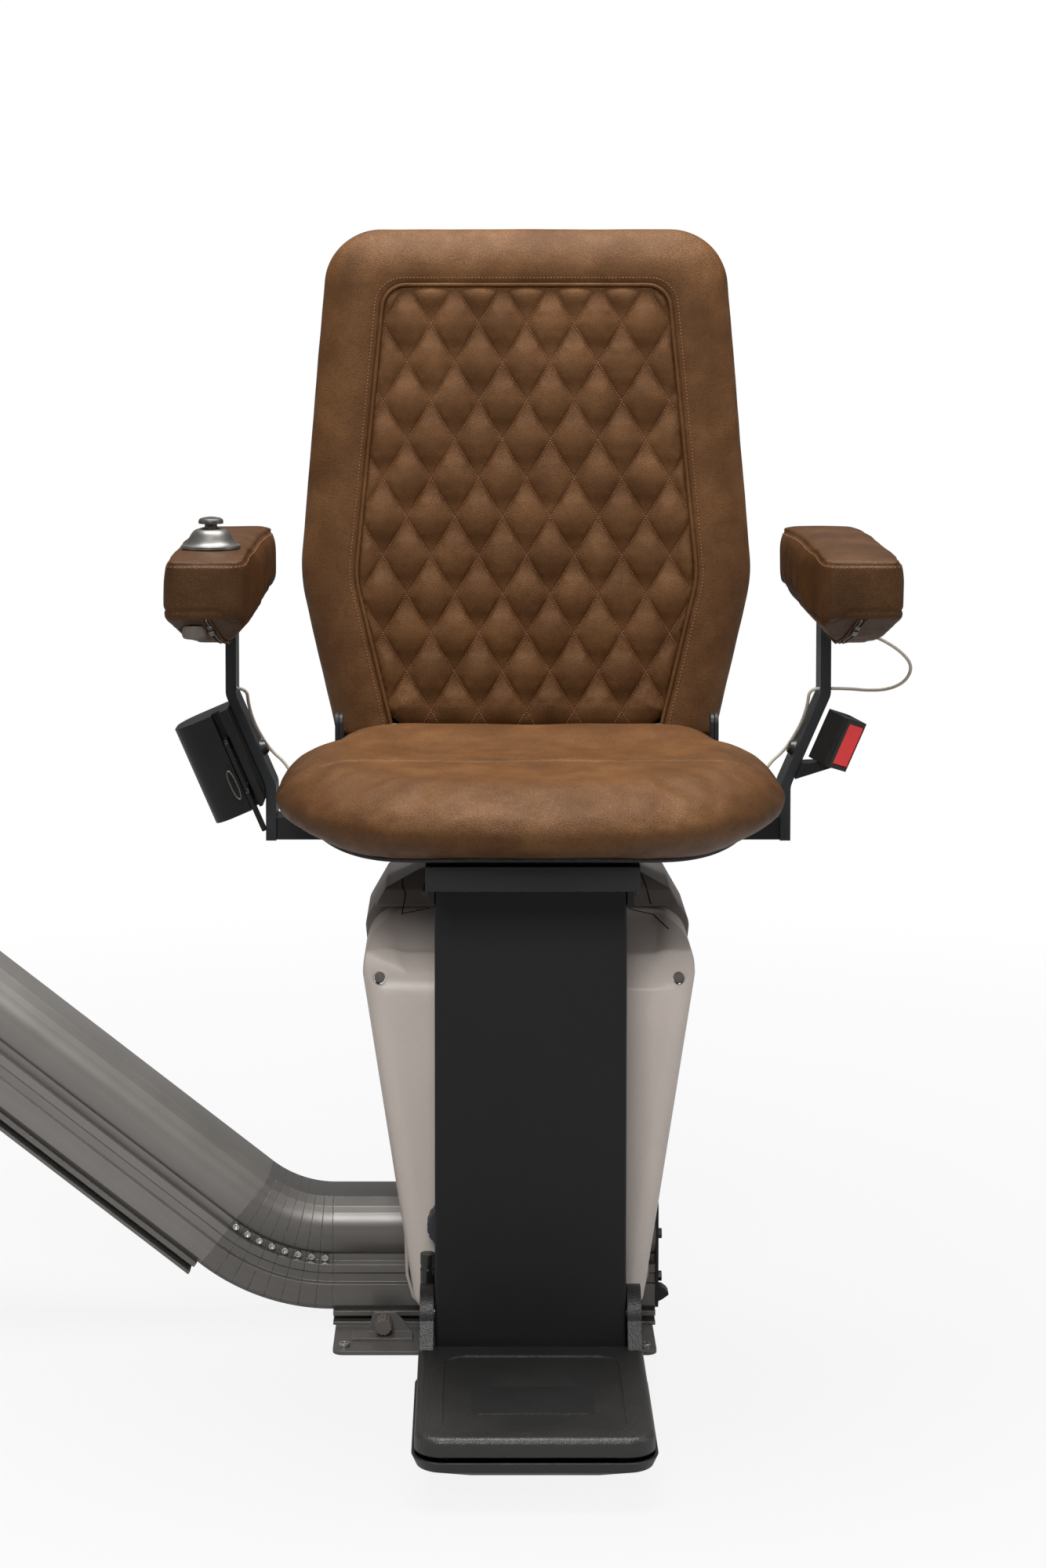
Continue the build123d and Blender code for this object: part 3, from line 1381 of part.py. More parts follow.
with BuildPart() as belt_tongue:
    with BuildSketch(Plane(origin=reel_foot.origin + reel_foot.x_dir * 13, x_dir=(0, -1, 0),
                           z_dir=reel_foot.x_dir)):
        with Locations((reel_depth - bar_depth / 2 - tongue_seat + 12, 42)):
            RectangleRounded(24, 62, 6)
            RectangleRounded(9, 40, 3, mode=Mode.SUBTRACT)
        with Locations((reel_depth - bar_depth / 2 + 5, 0)):
            RectangleRounded(13, 44, 5)
    extrude(amount=1.8, both=True)
finish(belt_tongue, "belt_tongue")

# Buckle on the right bar, turned outwards, on a stalk
buckle_width, buckle_thickness, buckle_length = 34.0, 26.0, 50.0
buckle_x, buckle_y, buckle_z = 296.0, -104.0, 598.0
buckle_yaw = math.radians(40)
button_inset, button_travel = 4.0, 3.0
window_width, window_height, window_gap = 24.0, 42.0, 0.3
buckle_up = Vector(math.sin(crank), 0, math.cos(crank))
buckle_across = Vector(math.cos(buckle_yaw), math.sin(buckle_yaw), 0)
buckle_foot = Plane(
    origin=Vector(buckle_x, buckle_y, buckle_z) - buckle_up * (buckle_length / 2),
    x_dir=buckle_across - buckle_up * buckle_across.dot(buckle_up),
    z_dir=buckle_up,
)
buckle_face = Plane(
    origin=buckle_foot.from_local_coords((2.5, -buckle_thickness / 2, buckle_length / 2)),
    x_dir=buckle_foot.x_dir,
    z_dir=-buckle_foot.y_dir,
)
with BuildPart() as buckle_body:
    with BuildSketch(buckle_foot):
        RectangleRounded(buckle_width, buckle_thickness, 4)
    extrude(amount=buckle_length)
    with BuildSketch(buckle_face):
        Rectangle(window_width, window_height)
    extrude(amount=-(button_inset + button_travel + 3), mode=Mode.SUBTRACT)
    # mouth for the tongue, in the top behind the press window
    with BuildSketch(buckle_foot.offset(buckle_length)):
        with Locations((0, 3)):
            Rectangle(24, 5)
    extrude(amount=-20, mode=Mode.SUBTRACT)
finish(buckle_body, "buckle_body")

with BuildPart() as buckle_button:
    with BuildSketch(buckle_face.offset(-button_inset - 2.7)):
        Rectangle(window_width - 2 * window_gap, window_height - 2 * window_gap)
    extrude(amount=button_inset + 1.7)
finish(buckle_button, "buckle_button")

stalk_width, stalk_grip = 20.0, 17.0
stalk_root = bar_plane(1, -24)
stalk_low = stalk_root.origin + stalk_root.z_dir * bar_half
stalk_high = stalk_low + stalk_root.y_dir * stalk_grip
stalk_out = Vector(math.cos(crank), 0, -math.sin(crank)) * 6
with BuildPart() as buckle_stalk:
    with BuildSketch(facing(-88)):
        with BuildLine():
            outer_end = buckle_foot.origin + stalk_out
            inner_end = buckle_foot.origin - stalk_out
            Polyline(
                (stalk_low.X, stalk_low.Z), (outer_end.X, outer_end.Z),
                (inner_end.X, inner_end.Z), (stalk_high.X, stalk_high.Z), close=True,
            )
        make_face()
    extrude(amount=stalk_width)
finish(buckle_stalk, "buckle_stalk")

# =========================================================================================
# Leads: the loose loop from the right pad to its bar, and a lead down inside each bar
# =========================================================================================
def cable_tube(name, points):
    """Round cable through points: straight runs joined by the widest tangent arcs."""
    points = [Vector(point) for point in points]
    runs = [b - a for a, b in zip(points, points[1:])]
    radii = []
    for first, second in zip(runs, runs[1:]):
        half_turn = math.radians(first.get_angle(second) / 2)
        radii.append(0.45 * min(first.length, second.length) / math.tan(half_turn))
    with BuildPart(mode=Mode.PRIVATE) as tube:
        with BuildLine() as route:
            FilletPolyline(*points, radius=radii)
        with BuildSketch(Plane(origin=points[0], z_dir=runs[0])):
            Circle(cable_radius)
        sweep(path=route.wire())
    length = route.wire().length
    print(name, "radii", [round(radius, 1) for radius in radii])
    print(name, "runs", [round(run.length, 1) for run in runs], "length", round(length, 1))
    print(name, "volume", round(tube.part.volume, 1),
          "section x length", round(math.pi * cable_radius ** 2 * length, 1))
    return tube.part


bar_face = arm_x + bar_thickness / 2
with BuildPart() as pad_cable:
    add(cable_tube("pad cable", (
        (290.0, -180.0, pad_keel - cable_radius - soft_gap - 0.2),
        (310.5, -177.0, 710.8),
        (330.0, -171.5, 703.3),
        (349.2, -160.0, 690.2),
        (361.0, -146.0, 675.4),
        (357.5, -132.0, 659.5),
        (343.8, -118.0, 649.4),
        (326.5, -104.0, 646.0),
        (306.4, -94.0, 646.5),
        (bar_face, -94.0, 646.5),
    )))
finish(pad_cable, "pad_cable")

with BuildPart() as bar_leads:
    for side in (-1, 1):
        add(cable_tube("bar lead", (
            (side * (arm_x - bar_thickness / 2), -94.0, 646.5),
            (side * 270.0, -94.0, 646.5),
            (side * 269.0, -88.0, 630.0),
            (side * 265.0, -77.0, 612.0),
            (side * 257.2, -66.0, 594.0),
            (side * 248.0, -62.0, 580.0),
            (side * 236.0, -62.0, 570.0),
            (side * 227.0, -64.0, 555.0),
            (side * 224.0, -72.0, 538.0),
            (side * 224.0, -72.0, frame_top),
        )))
finish(bar_leads, "bar_leads")
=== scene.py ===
import bmesh
import bpy
import numpy as np
from math import cos, hypot, pi, radians, sin, sqrt, tan
from mathutils import Matrix, Vector
from mathutils.bvhtree import BVHTree


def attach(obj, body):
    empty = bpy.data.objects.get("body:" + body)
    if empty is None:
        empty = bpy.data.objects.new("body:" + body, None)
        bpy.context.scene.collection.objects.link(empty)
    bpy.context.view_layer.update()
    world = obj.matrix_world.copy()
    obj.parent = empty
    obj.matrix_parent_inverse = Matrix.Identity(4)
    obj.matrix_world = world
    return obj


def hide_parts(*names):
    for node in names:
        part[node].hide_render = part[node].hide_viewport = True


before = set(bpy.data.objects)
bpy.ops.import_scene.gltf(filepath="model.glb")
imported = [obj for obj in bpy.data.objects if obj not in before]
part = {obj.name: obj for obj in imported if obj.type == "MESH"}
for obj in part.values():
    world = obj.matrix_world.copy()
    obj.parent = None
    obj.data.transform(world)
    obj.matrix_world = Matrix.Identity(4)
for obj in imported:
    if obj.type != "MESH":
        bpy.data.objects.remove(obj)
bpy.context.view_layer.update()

# ---- Camera: chest height in front of the empty seat ----
# A short telephoto on the chair's front, a little to the left of its middle. It looks down by
# three degrees, and the shift brings the footrest in while the mast stays upright.
photo_lens = bpy.data.cameras.new("photo_lens")
photo_lens.lens = 68.23
photo_lens.shift_x = 0.0305
photo_lens.shift_y = -0.2364
photo_camera = bpy.data.objects.new("photo_camera", photo_lens)
photo_camera.location = (-0.0509, -2.9291, 1.0596)
photo_camera.rotation_euler = (radians(87), 0, 0)
bpy.context.scene.collection.objects.link(photo_camera)
bpy.context.scene.camera = photo_camera
bpy.context.scene.view_settings.view_transform = "Standard"

# ---- Studio: pale sweep, an overhead softbox and one in front ----
# The floor is a plain pale sheet. Cameras and mirror-like paint see it white; the chair is lit by
# the softboxes and a low grey room.


def put(tree, kind, settings=None, **sockets):
    """Add a shader node; i3=… sets or links socket 3, Base_Color=… the socket of that name."""
    made = tree.nodes.new("ShaderNode" + kind)
    for key, value in (settings or {}).items():
        setattr(made, key, value)
    for key, value in sockets.items():
        plug = made.inputs[int(key[1:]) if key[1:].isdigit() else key.replace("_", " ")]
        if isinstance(value, bpy.types.NodeSocket):
            tree.links.new(value, plug)
        else:
            plug.default_value = value
    return made


def blank_finish(name):
    """A new material and its Principled shader."""
    finish = bpy.data.materials.new(name)
    finish.use_nodes = True
    return finish, finish.node_tree, finish.node_tree.nodes["Principled BSDF"]


def piece(name, shape, body, finish, smooth=True):
    """A finished bmesh becomes an object that rides on a body."""
    mesh = bpy.data.meshes.new(name)
    shape.to_mesh(mesh)
    shape.free()
    if smooth:
        mesh.shade_smooth()
    thing = bpy.data.objects.new(name, mesh)
    bpy.context.scene.collection.objects.link(thing)
    mesh.materials.append(finish)
    if body:
        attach(thing, body)
    return thing


def seen_directly(tree):
    """Light Path, and a value of 1 where the camera looks straight or through something clear."""
    rays = put(tree, "LightPath")
    return rays, put(tree, "Math", {"operation": "MAXIMUM"}, i0=rays.outputs["Is Camera Ray"],
                     i1=rays.outputs["Is Transmission Ray"])


studio_floor, tree, shader = blank_finish("studio_floor")
shader.inputs["Base Color"].default_value = (0.33, 0.33, 0.33, 1)
shader.inputs["Roughness"].default_value = 0.9
place = put(tree, "TexCoord")
far_off = put(tree, "VectorMath", {"operation": "LENGTH"}, i0=place.outputs["Object"])
paler = put(tree, "MapRange", Value=far_off.outputs["Value"], i1=0.5, i2=1.9, i3=0.88, i4=1.0)
rays, seen = seen_directly(tree)
mirrored = put(tree, "Math", {"operation": "MULTIPLY"}, i0=rays.outputs["Is Glossy Ray"], i1=0.32)
seen_at_all = put(tree, "Math", {"operation": "MAXIMUM"}, i0=seen.outputs[0],
                  i1=mirrored.outputs[0])
white_share = put(tree, "Math", {"operation": "MULTIPLY"}, i0=seen_at_all.outputs[0],
                  i1=paler.outputs[0])
white = put(tree, "Emission", Color=(1, 1, 1, 1), Strength=1.0)
floor_mix = put(tree, "MixShader", i0=white_share.outputs[0], i1=shader.outputs[0],
                i2=white.outputs[0])
tree.links.new(floor_mix.outputs[0], tree.nodes["Material Output"].inputs["Surface"])
sheet = bmesh.new()
bmesh.ops.create_grid(sheet, x_segments=2, y_segments=2, size=5.0)
bmesh.ops.translate(sheet, verts=sheet.verts, vec=(0, 0, -0.0005))
piece("studio_sweep", sheet, None, studio_floor)

room = bpy.data.worlds.new("studio_room")
bpy.context.scene.world = room
room.use_nodes = True
tree = room.node_tree
rays, seen = seen_directly(tree)
mirrored = put(tree, "Math", {"operation": "MULTIPLY_ADD"}, i0=rays.outputs["Is Glossy Ray"],
               i1=0.17, i2=0.035)
strength = put(tree, "Math", {"operation": "MAXIMUM"}, i0=seen.outputs[0], i1=mirrored.outputs[0])
sky = put(tree, "Background", Color=(1, 1, 1, 1), Strength=strength.outputs[0])
tree.links.new(sky.outputs[0], tree.nodes["World Output"].inputs["Surface"])

for name, spot, aim, size, power in (
        ("overhead_box", (0.0, -0.20, 2.9), (0.0, -0.25, 0.4), (2.2, 1.5), 134.0),
        ("front_box", (-0.45, -3.3, 2.35), (0.0, 0.0, 0.5), (1.3, 1.0), 70.0),
        ("left_strip", (-2.6, -0.9, 1.4), (0.0, 0.0, 0.6), (0.5, 2.0), 6.0),
        ("right_strip", (2.6, -0.9, 1.4), (0.0, 0.0, 0.6), (0.5, 2.0), 15.0)):
    softbox = bpy.data.lights.new(name, "AREA")
    softbox.shape = "RECTANGLE"
    softbox.size, softbox.size_y = size
    softbox.energy = power
    lamp = bpy.data.objects.new(name, softbox)
    lamp.location = spot
    lamp.rotation_euler = (Vector(aim) - Vector(spot)).to_track_quat("-Z", "Y").to_euler()
    bpy.context.scene.collection.objects.link(lamp)

# ---- Rail: level length, bend of wedges and incline ----
# Extruded aluminium, anodised champagne grey. The die leaves fine lines along the bar, and the
# bend is sawn wedges held by socket screws. A slotted channel underneath takes the feet.


def effect(name, takes, gives):
    """A shader node group with its named inputs and outputs; returns it with its two ends."""
    group = bpy.data.node_groups.new(name, "ShaderNodeTree")
    for label, kind, value in takes:
        plug = group.interface.new_socket(name=label, in_out="INPUT",
                                          socket_type="NodeSocket" + kind)
        plug.default_value = value
    for label, kind in gives:
        group.interface.new_socket(name=label, in_out="OUTPUT", socket_type="NodeSocket" + kind)
    return group, group.nodes.new("NodeGroupInput"), group.nodes.new("NodeGroupOutput")


# Worn, slightly rounded edges: the mask is 1 on a sharp edge, and the normal runs round it.
worn_edges, taken, given = effect("worn_edges", [("Width", "Float", 0.001), ("Wear", "Float", 0.5)],
                                  [("Mask", "Float"), ("Normal", "Vector")])
tree = worn_edges
rounded = put(tree, "Bevel", {"samples": 6}, Radius=taken.outputs["Width"])
flat = put(tree, "NewGeometry")
agree = put(tree, "VectorMath", {"operation": "DOT_PRODUCT"}, i0=rounded.outputs[0],
            i1=flat.outputs["Normal"])
edge = put(tree, "MapRange", Value=agree.outputs["Value"], i1=0.985, i2=0.80)
place = put(tree, "TexCoord")
chips = put(tree, "TexNoise", Vector=place.outputs["Object"], Scale=160.0, Detail=4.0)
chip_mask = put(tree, "MapRange", Value=chips.outputs[0], i1=0.35, i2=0.62)
rub = put(tree, "Math", {"operation": "MULTIPLY"}, i0=edge.outputs[0], i1=chip_mask.outputs[0])
mask = put(tree, "Math", {"operation": "MULTIPLY"}, i0=rub.outputs[0], i1=taken.outputs["Wear"])
tree.links.new(mask.outputs[0], given.inputs["Mask"])
tree.links.new(rounded.outputs[0], given.inputs["Normal"])

# Lines that a die or a roll leaves along a bar: Across is metres across the bar, Along metres
# down it. Streak goes from 0 to 1, Height feeds a Bump.
drawn_lines, taken, given = effect(
    "drawn_lines", [("Across", "Float", 0.0), ("Along", "Float", 0.0)],
    [("Streak", "Float"), ("Height", "Float")])
tree = drawn_lines
stretched = put(tree, "CombineXYZ", X=taken.outputs["Across"], Z=taken.outputs["Along"])
squeezed = put(tree, "Mapping", Vector=stretched.outputs[0], Scale=(1, 1, 0.012))
fine = put(tree, "TexNoise", Vector=squeezed.outputs[0], Scale=900.0, Detail=3.0, Roughness=0.7)
broad = put(tree, "TexNoise", Vector=squeezed.outputs[0], Scale=120.0, Detail=2.0)
streak = put(tree, "Math", {"operation": "MULTIPLY_ADD"}, i0=broad.outputs[0], i1=0.6, i2=-0.05)
both = put(tree, "Math", {"operation": "MULTIPLY_ADD"}, i0=fine.outputs[0], i1=0.5,
           i2=streak.outputs[0])
tree.links.new(both.outputs[0], given.inputs["Streak"])
tree.links.new(fine.outputs[0], given.inputs["Height"])


def call(tree, group, **sockets):
    """Place a shared effect in a material with its own values."""
    made = tree.nodes.new("ShaderNodeGroup")
    made.node_tree = group
    for key, value in sockets.items():
        if isinstance(value, bpy.types.NodeSocket):
            tree.links.new(value, made.inputs[key])
        else:
            made.inputs[key].default_value = value
    return made


def dress(finish, *names):
    """Give a finish to carried-over CAD pieces."""
    for name in names:
        for place in part[name].material_slots:
            place.material = finish


def two_tones(colour, darker, lighter):
    """A colour made darker and lighter, as two RGBA values."""
    return (*[c * darker for c in colour], 1), (*[min(1, c * lighter) for c in colour], 1)


def rub(tree, shader, edges, under, bright):
    """Base colour: what lies under, rubbed to the bright colour on worn edges."""
    rubbed = put(tree, "Mix", {"data_type": "RGBA"}, i0=edges.outputs["Mask"], i6=under,
                 i7=(*bright, 1))
    tree.links.new(rubbed.outputs["Result"], shader.inputs["Base Color"])


def texture(tree, shader, edges, height, strength, depth):
    """Fine relief on top of the rounded edges."""
    relief = put(tree, "Bump", Strength=strength, Distance=depth, Height=height,
                 Normal=edges.outputs["Normal"])
    tree.links.new(relief.outputs[0], shader.inputs["Normal"])


def drawn_metal(name, colour, bright, metal, rough, across, along, wear=0.5, bump=0.12):
    """Extruded or rolled metal; across and along are rows that turn Object X, Y, Z into metres."""
    finish, tree, shader = blank_finish(name)
    place = put(tree, "TexCoord")
    if across == "round":           # the wedges of the bend: radius from the bend's centre
        middle = put(tree, "VectorMath", {"operation": "SUBTRACT"}, i0=place.outputs["Object"],
                     i1=along)
        spoke = put(tree, "VectorMath", {"operation": "MULTIPLY"}, i0=middle.outputs[0],
                    i1=(1, 0, 1))
        width = put(tree, "VectorMath", {"operation": "LENGTH"},
                    i0=spoke.outputs[0]).outputs["Value"]
        run = put(tree, "SeparateXYZ", i0=middle.outputs[0]).outputs["X"]
    else:
        width = put(tree, "VectorMath", {"operation": "DOT_PRODUCT"}, i0=place.outputs["Object"],
                    i1=across).outputs["Value"]
        run = put(tree, "VectorMath", {"operation": "DOT_PRODUCT"}, i0=place.outputs["Object"],
                  i1=along).outputs["Value"]
    lines = call(tree, drawn_lines, Across=width, Along=run)
    edges = call(tree, worn_edges, Width=0.0008, Wear=wear)
    darker, lighter = two_tones(colour, 0.86, 1.12)
    tone = put(tree, "Mix", {"data_type": "RGBA"}, i0=lines.outputs["Streak"], i6=darker,
               i7=lighter)
    cloud = put(tree, "TexNoise", Vector=place.outputs["Object"], Scale=14.0, Detail=4.0)
    grey_cloud = put(tree, "MapRange", Value=cloud.outputs[0], i3=0.84, i4=1.1)
    smudged = put(tree, "VectorMath", {"operation": "SCALE"}, i0=tone.outputs["Result"])
    tree.links.new(grey_cloud.outputs[0], smudged.inputs["Scale"])
    rub(tree, shader, edges, smudged.outputs[0], bright)
    shader.inputs["Metallic"].default_value = metal
    roughness = put(tree, "MapRange", Value=cloud.outputs[0], i3=rough - 0.06, i4=rough + 0.08)
    tree.links.new(roughness.outputs[0], shader.inputs["Roughness"])
    texture(tree, shader, edges, lines.outputs["Height"], bump, 0.0002)
    return finish


anodised, anodised_bright = (0.205, 0.193, 0.180), (0.50, 0.48, 0.45)
incline = radians(38)
bend_centre = (-0.1915, 0.0, 0.232)
# one anodised colour in three copies: the incline's x1.25 as painted light, the level run's x0.86
# and the bend's x0.85 as painted shade
level_metal_painted_shade = drawn_metal("anodised_level_painted_shade", [c * 0.86 for c in anodised], anodised_bright, 0.5,
                          0.33, (0, 1, 1), (1, 0, 0))
incline_metal_painted_light = drawn_metal("anodised_incline_painted_light", [c * 1.25 for c in anodised], anodised_bright, 0.5,
                            0.33, (sin(incline), 1, cos(incline)), (-cos(incline), 0, sin(incline)))
bend_metal_painted_shade = drawn_metal("anodised_bend_painted_shade", [c * 0.85 for c in anodised], anodised_bright, 0.5, 0.36,
                         "round", bend_centre, wear=0.9)
dress(level_metal_painted_shade, "rail_level", "rail_channels")
dress(incline_metal_painted_light, "rail_incline")
dress(bend_metal_painted_shade, "bend_wedges")
# rack: plain machined steel, with a film of oil
dress(drawn_metal("oiled_steel", (0.23, 0.225, 0.215), (0.55, 0.54, 0.52), 0.9, 0.28,
                  (0, 1, 1), (1, 0, 0), wear=0.7), "rack")


def turned_metal(name, colour, bright, metal, rough, scale=700.0):
    """Small turned or cold-headed hardware: fine random tooling, brighter edges, dull spots."""
    finish, tree, shader = blank_finish(name)
    place = put(tree, "TexCoord")
    tooling = put(tree, "TexNoise", Vector=place.outputs["Object"], Scale=scale, Detail=4.0)
    edges = call(tree, worn_edges, Width=0.0005, Wear=0.9)
    spots = put(tree, "TexNoise", Vector=place.outputs["Object"], Scale=90.0, Detail=5.0)
    darker, lighter = two_tones(colour, 0.7, 1.25)
    dull = put(tree, "Mix", {"data_type": "RGBA"}, i0=spots.outputs[0], i6=darker, i7=lighter)
    rub(tree, shader, edges, dull.outputs["Result"], bright)
    shader.inputs["Metallic"].default_value = metal
    roughness = put(tree, "MapRange", Value=spots.outputs[0], i3=rough - 0.08, i4=rough + 0.12)
    tree.links.new(roughness.outputs[0], shader.inputs["Roughness"])
    texture(tree, shader, edges, tooling.outputs[0], 0.1, 0.0001)
    return finish


black_oxide = turned_metal("black_oxide", (0.055, 0.053, 0.052), (0.32, 0.31, 0.30), 0.8, 0.34)
zinc = turned_metal("bright_zinc", (0.52, 0.51, 0.49), (0.80, 0.79, 0.77), 0.95, 0.26)
dress(zinc, "bend_screws")

# ---- Shims between the wedges of the bend ----
# Black rubber sheet, cut to the rail's section, fills the saw cuts and stops the wedges creaking.
# One half-sheet is bonded to each sawn face.
moulded_skin, taken, given = effect(
    "moulded_skin", [("Grain", "Float", 1200.0), ("Patch", "Float", 16.0)],
    [("Patch", "Float"), ("Speck", "Float"), ("Height", "Float")])
tree = moulded_skin
place = put(tree, "TexCoord")
patch = put(tree, "TexNoise", Vector=place.outputs["Object"], Scale=taken.outputs["Patch"],
            Detail=6.0, Roughness=0.62)
patch_range = put(tree, "MapRange", Value=patch.outputs[0], i1=0.32, i2=0.68)
spark = put(tree, "TexVoronoi", {"feature": "SMOOTH_F1"}, Vector=place.outputs["Object"],
            Scale=taken.outputs["Grain"], Smoothness=0.6)
fuzz = put(tree, "TexNoise", Vector=place.outputs["Object"], Scale=taken.outputs["Grain"],
           Detail=2.0)
height = put(tree, "Math", {"operation": "MULTIPLY_ADD"}, i0=spark.outputs["Distance"], i1=-0.8,
             i2=fuzz.outputs[0])
tree.links.new(patch_range.outputs[0], given.inputs["Patch"])
tree.links.new(spark.outputs["Distance"], given.inputs["Speck"])
tree.links.new(height.outputs[0], given.inputs["Height"])


def moulded(name, colour, rough, grain=1200.0, relief=0.15, depth=0.0003, wear=0.35, patch=16.0,
            shine=0.5, metal=0.0, worn=None, swing=0.10, edge=0.0012):
    """Moulded plastic, rubber or powder coat: grain, cloudy tone, handled edges."""
    finish, tree, shader = blank_finish(name)
    skin = call(tree, moulded_skin, Grain=grain, Patch=patch)
    edges = call(tree, worn_edges, Width=edge, Wear=wear)
    darker, lighter = two_tones(colour, 1 - swing, 1 + swing)
    tone = put(tree, "Mix", {"data_type": "RGBA"}, i0=skin.outputs["Patch"], i6=darker, i7=lighter)
    pitted = put(tree, "MapRange", Value=skin.outputs["Speck"], i3=1.06, i4=0.90)
    grained = put(tree, "VectorMath", {"operation": "SCALE"}, i0=tone.outputs["Result"])
    tree.links.new(pitted.outputs[0], grained.inputs["Scale"])
    rub(tree, shader, edges, grained.outputs[0], worn or [min(1, c * 1.7 + 0.02) for c in colour])
    shader.inputs["Metallic"].default_value = metal
    shader.inputs["Specular IOR Level"].default_value = shine
    dull = put(tree, "MapRange", Value=skin.outputs["Patch"], i3=rough - 0.05, i4=rough + 0.07)
    tree.links.new(dull.outputs[0], shader.inputs["Roughness"])
    texture(tree, shader, edges, skin.outputs["Height"], relief, depth)
    return finish


shim_rubber = moulded("shim_rubber", (0.012, 0.0115, 0.011), 0.75, grain=900, relief=0.2,
                      shine=0.15)
shim_turn = radians(0.0535)         # thickness of a half-sheet, as a turn about the bend's centre
same_place = 0.00002                # corners nearer than this are one


def merged(node):
    """A copy of a CAD piece's mesh with its corners joined."""
    shape = bmesh.new()
    shape.from_mesh(part[node].data)
    bmesh.ops.remove_doubles(shape, verts=shape.verts, dist=same_place)
    return shape


def new_corners(grown):
    """The corners that an extrusion made."""
    return [v for v in grown["geom"] if isinstance(v, bmesh.types.BMVert)]


def sawn(face):
    """1 or -1 for a face across the run of the bend, by the way it looks; 0 for the others."""
    spot = face.calc_center_median() - Vector(bend_centre)
    ahead = face.normal.dot(Vector((-spot.z, 0, spot.x)).normalized())
    return 0 if abs(ahead) < 0.9995 else (1 if ahead > 0 else -1)


for way, name in ((1, "bend_shims_upper"), (-1, "bend_shims_lower")):
    shims = merged("bend_wedges")
    shims.normal_update()
    bmesh.ops.delete(shims, geom=[f for f in shims.faces if sawn(f) != way], context="FACES")
    grown = bmesh.ops.extrude_face_region(shims, geom=shims.faces[:], use_keep_orig=True)
    bmesh.ops.rotate(shims, verts=new_corners(grown), cent=bend_centre,
                     matrix=Matrix.Rotation(-way * shim_turn, 3, "Y"))
    bmesh.ops.recalc_face_normals(shims, faces=shims.faces)
    piece(name, shims, "rail", shim_rubber, smooth=False)

# ---- End plate, its bolts and the stop hook ----
# The cut end of the rail is closed by a bent steel plate in rough black paint. The hook that ends
# the carriage's travel is pressed from the same steel.
black_coat = moulded("black_powder_coat", (0.014, 0.0135, 0.013), 0.42, grain=900, relief=0.25,
                     shine=0.35)
dress(black_coat, "rail_end_plate", "end_stop_hook")
dress(black_oxide, "end_plate_bolts")

# ---- Foot of the rail ----
# A steel foot plate, powder coated warm grey, is screwed to the floor. Its ear bracket clamps the
# channel with a fluted knob of grey plastic.
foot_paint = moulded("foot_powder_coat", (0.120, 0.112, 0.105), 0.40, grain=1100, relief=0.22,
                     wear=0.8, worn=(0.30, 0.29, 0.28))
dress(foot_paint, "foot_plate", "foot_ear")
dress(zinc, "foot_screws")
dress(moulded("clamp_knob_grey", (0.150, 0.124, 0.114), 0.45, grain=1500, relief=0.2), "clamp_knob")

# ---- Chassis, saddle, rollers and drive ----
# Folded steel painted black carries everything that rides on the rail. Nylon rollers run on its
# top and flank, and a hardened pinion from a cast gearbox walks along the rack.
chassis_paint = moulded("chassis_powder_coat", (0.015, 0.015, 0.0155), 0.45, grain=900,
                        relief=0.25, shine=0.3, wear=0.6, worn=(0.12, 0.12, 0.12))
dress(chassis_paint, "chassis", "saddle", "mast", "beam")
dress(moulded("roller_nylon", (0.62, 0.60, 0.54), 0.48, grain=1800, relief=0.08, patch=40),
      "top_roller_left", "top_roller_right", "side_roller_left", "side_roller_right")
dress(turned_metal("pinion_steel", (0.28, 0.27, 0.26), (0.60, 0.59, 0.57), 0.95, 0.30),
      "drive_pinion")
dress(moulded("gear_casting", (0.24, 0.24, 0.245), 0.50, grain=420, relief=0.45, depth=0.0006,
              metal=0.6, wear=0.7), "gearmotor")
dress(moulded("battery_case", (0.040, 0.042, 0.046), 0.40, grain=700, relief=0.25), "batteries")

# ---- Front cover, upper housing and skirts ----
# Thick mouldings in warm grey, satin, with soft corners. They screw to the chassis through
# recessed holes and meet in a fine shadow line. The upper housing is the rear half: the same
# warm grey made about three times darker, painted shade from the seat above it.
cover_greige = moulded("cover_greige", (0.640, 0.560, 0.505), 0.36, grain=1300, relief=0.10,
                       depth=0.0002, wear=0.15, patch=6, worn=(0.70, 0.63, 0.57), swing=0.05,
                       edge=0.004)
# the upper housing's copy of the cover's grey, about three times darker: painted shade under the
# seat
housing_greige_painted_shade = moulded("housing_greige_painted_shade", (0.205, 0.175, 0.155), 0.42, grain=1300, relief=0.12,
                         depth=0.0002, wear=0.2, patch=6, worn=(0.36, 0.32, 0.29), swing=0.06,
                         edge=0.004)
dress(cover_greige, "side_skirt")

corner_x, corner_z, cover_top = 0.115, 0.385, 0.432     # middle of a corner's arc, and the top edge
corner_fullness = 0.27
sharp_edge = radians(28)


def cut_across(shape, place, way):
    """New edges where a plane through a place, square to a way, meets the faces."""
    bmesh.ops.bisect_plane(shape, geom=shape.verts[:] + shape.edges[:] + shape.faces[:],
                           dist=same_place, plane_co=place, plane_no=way)


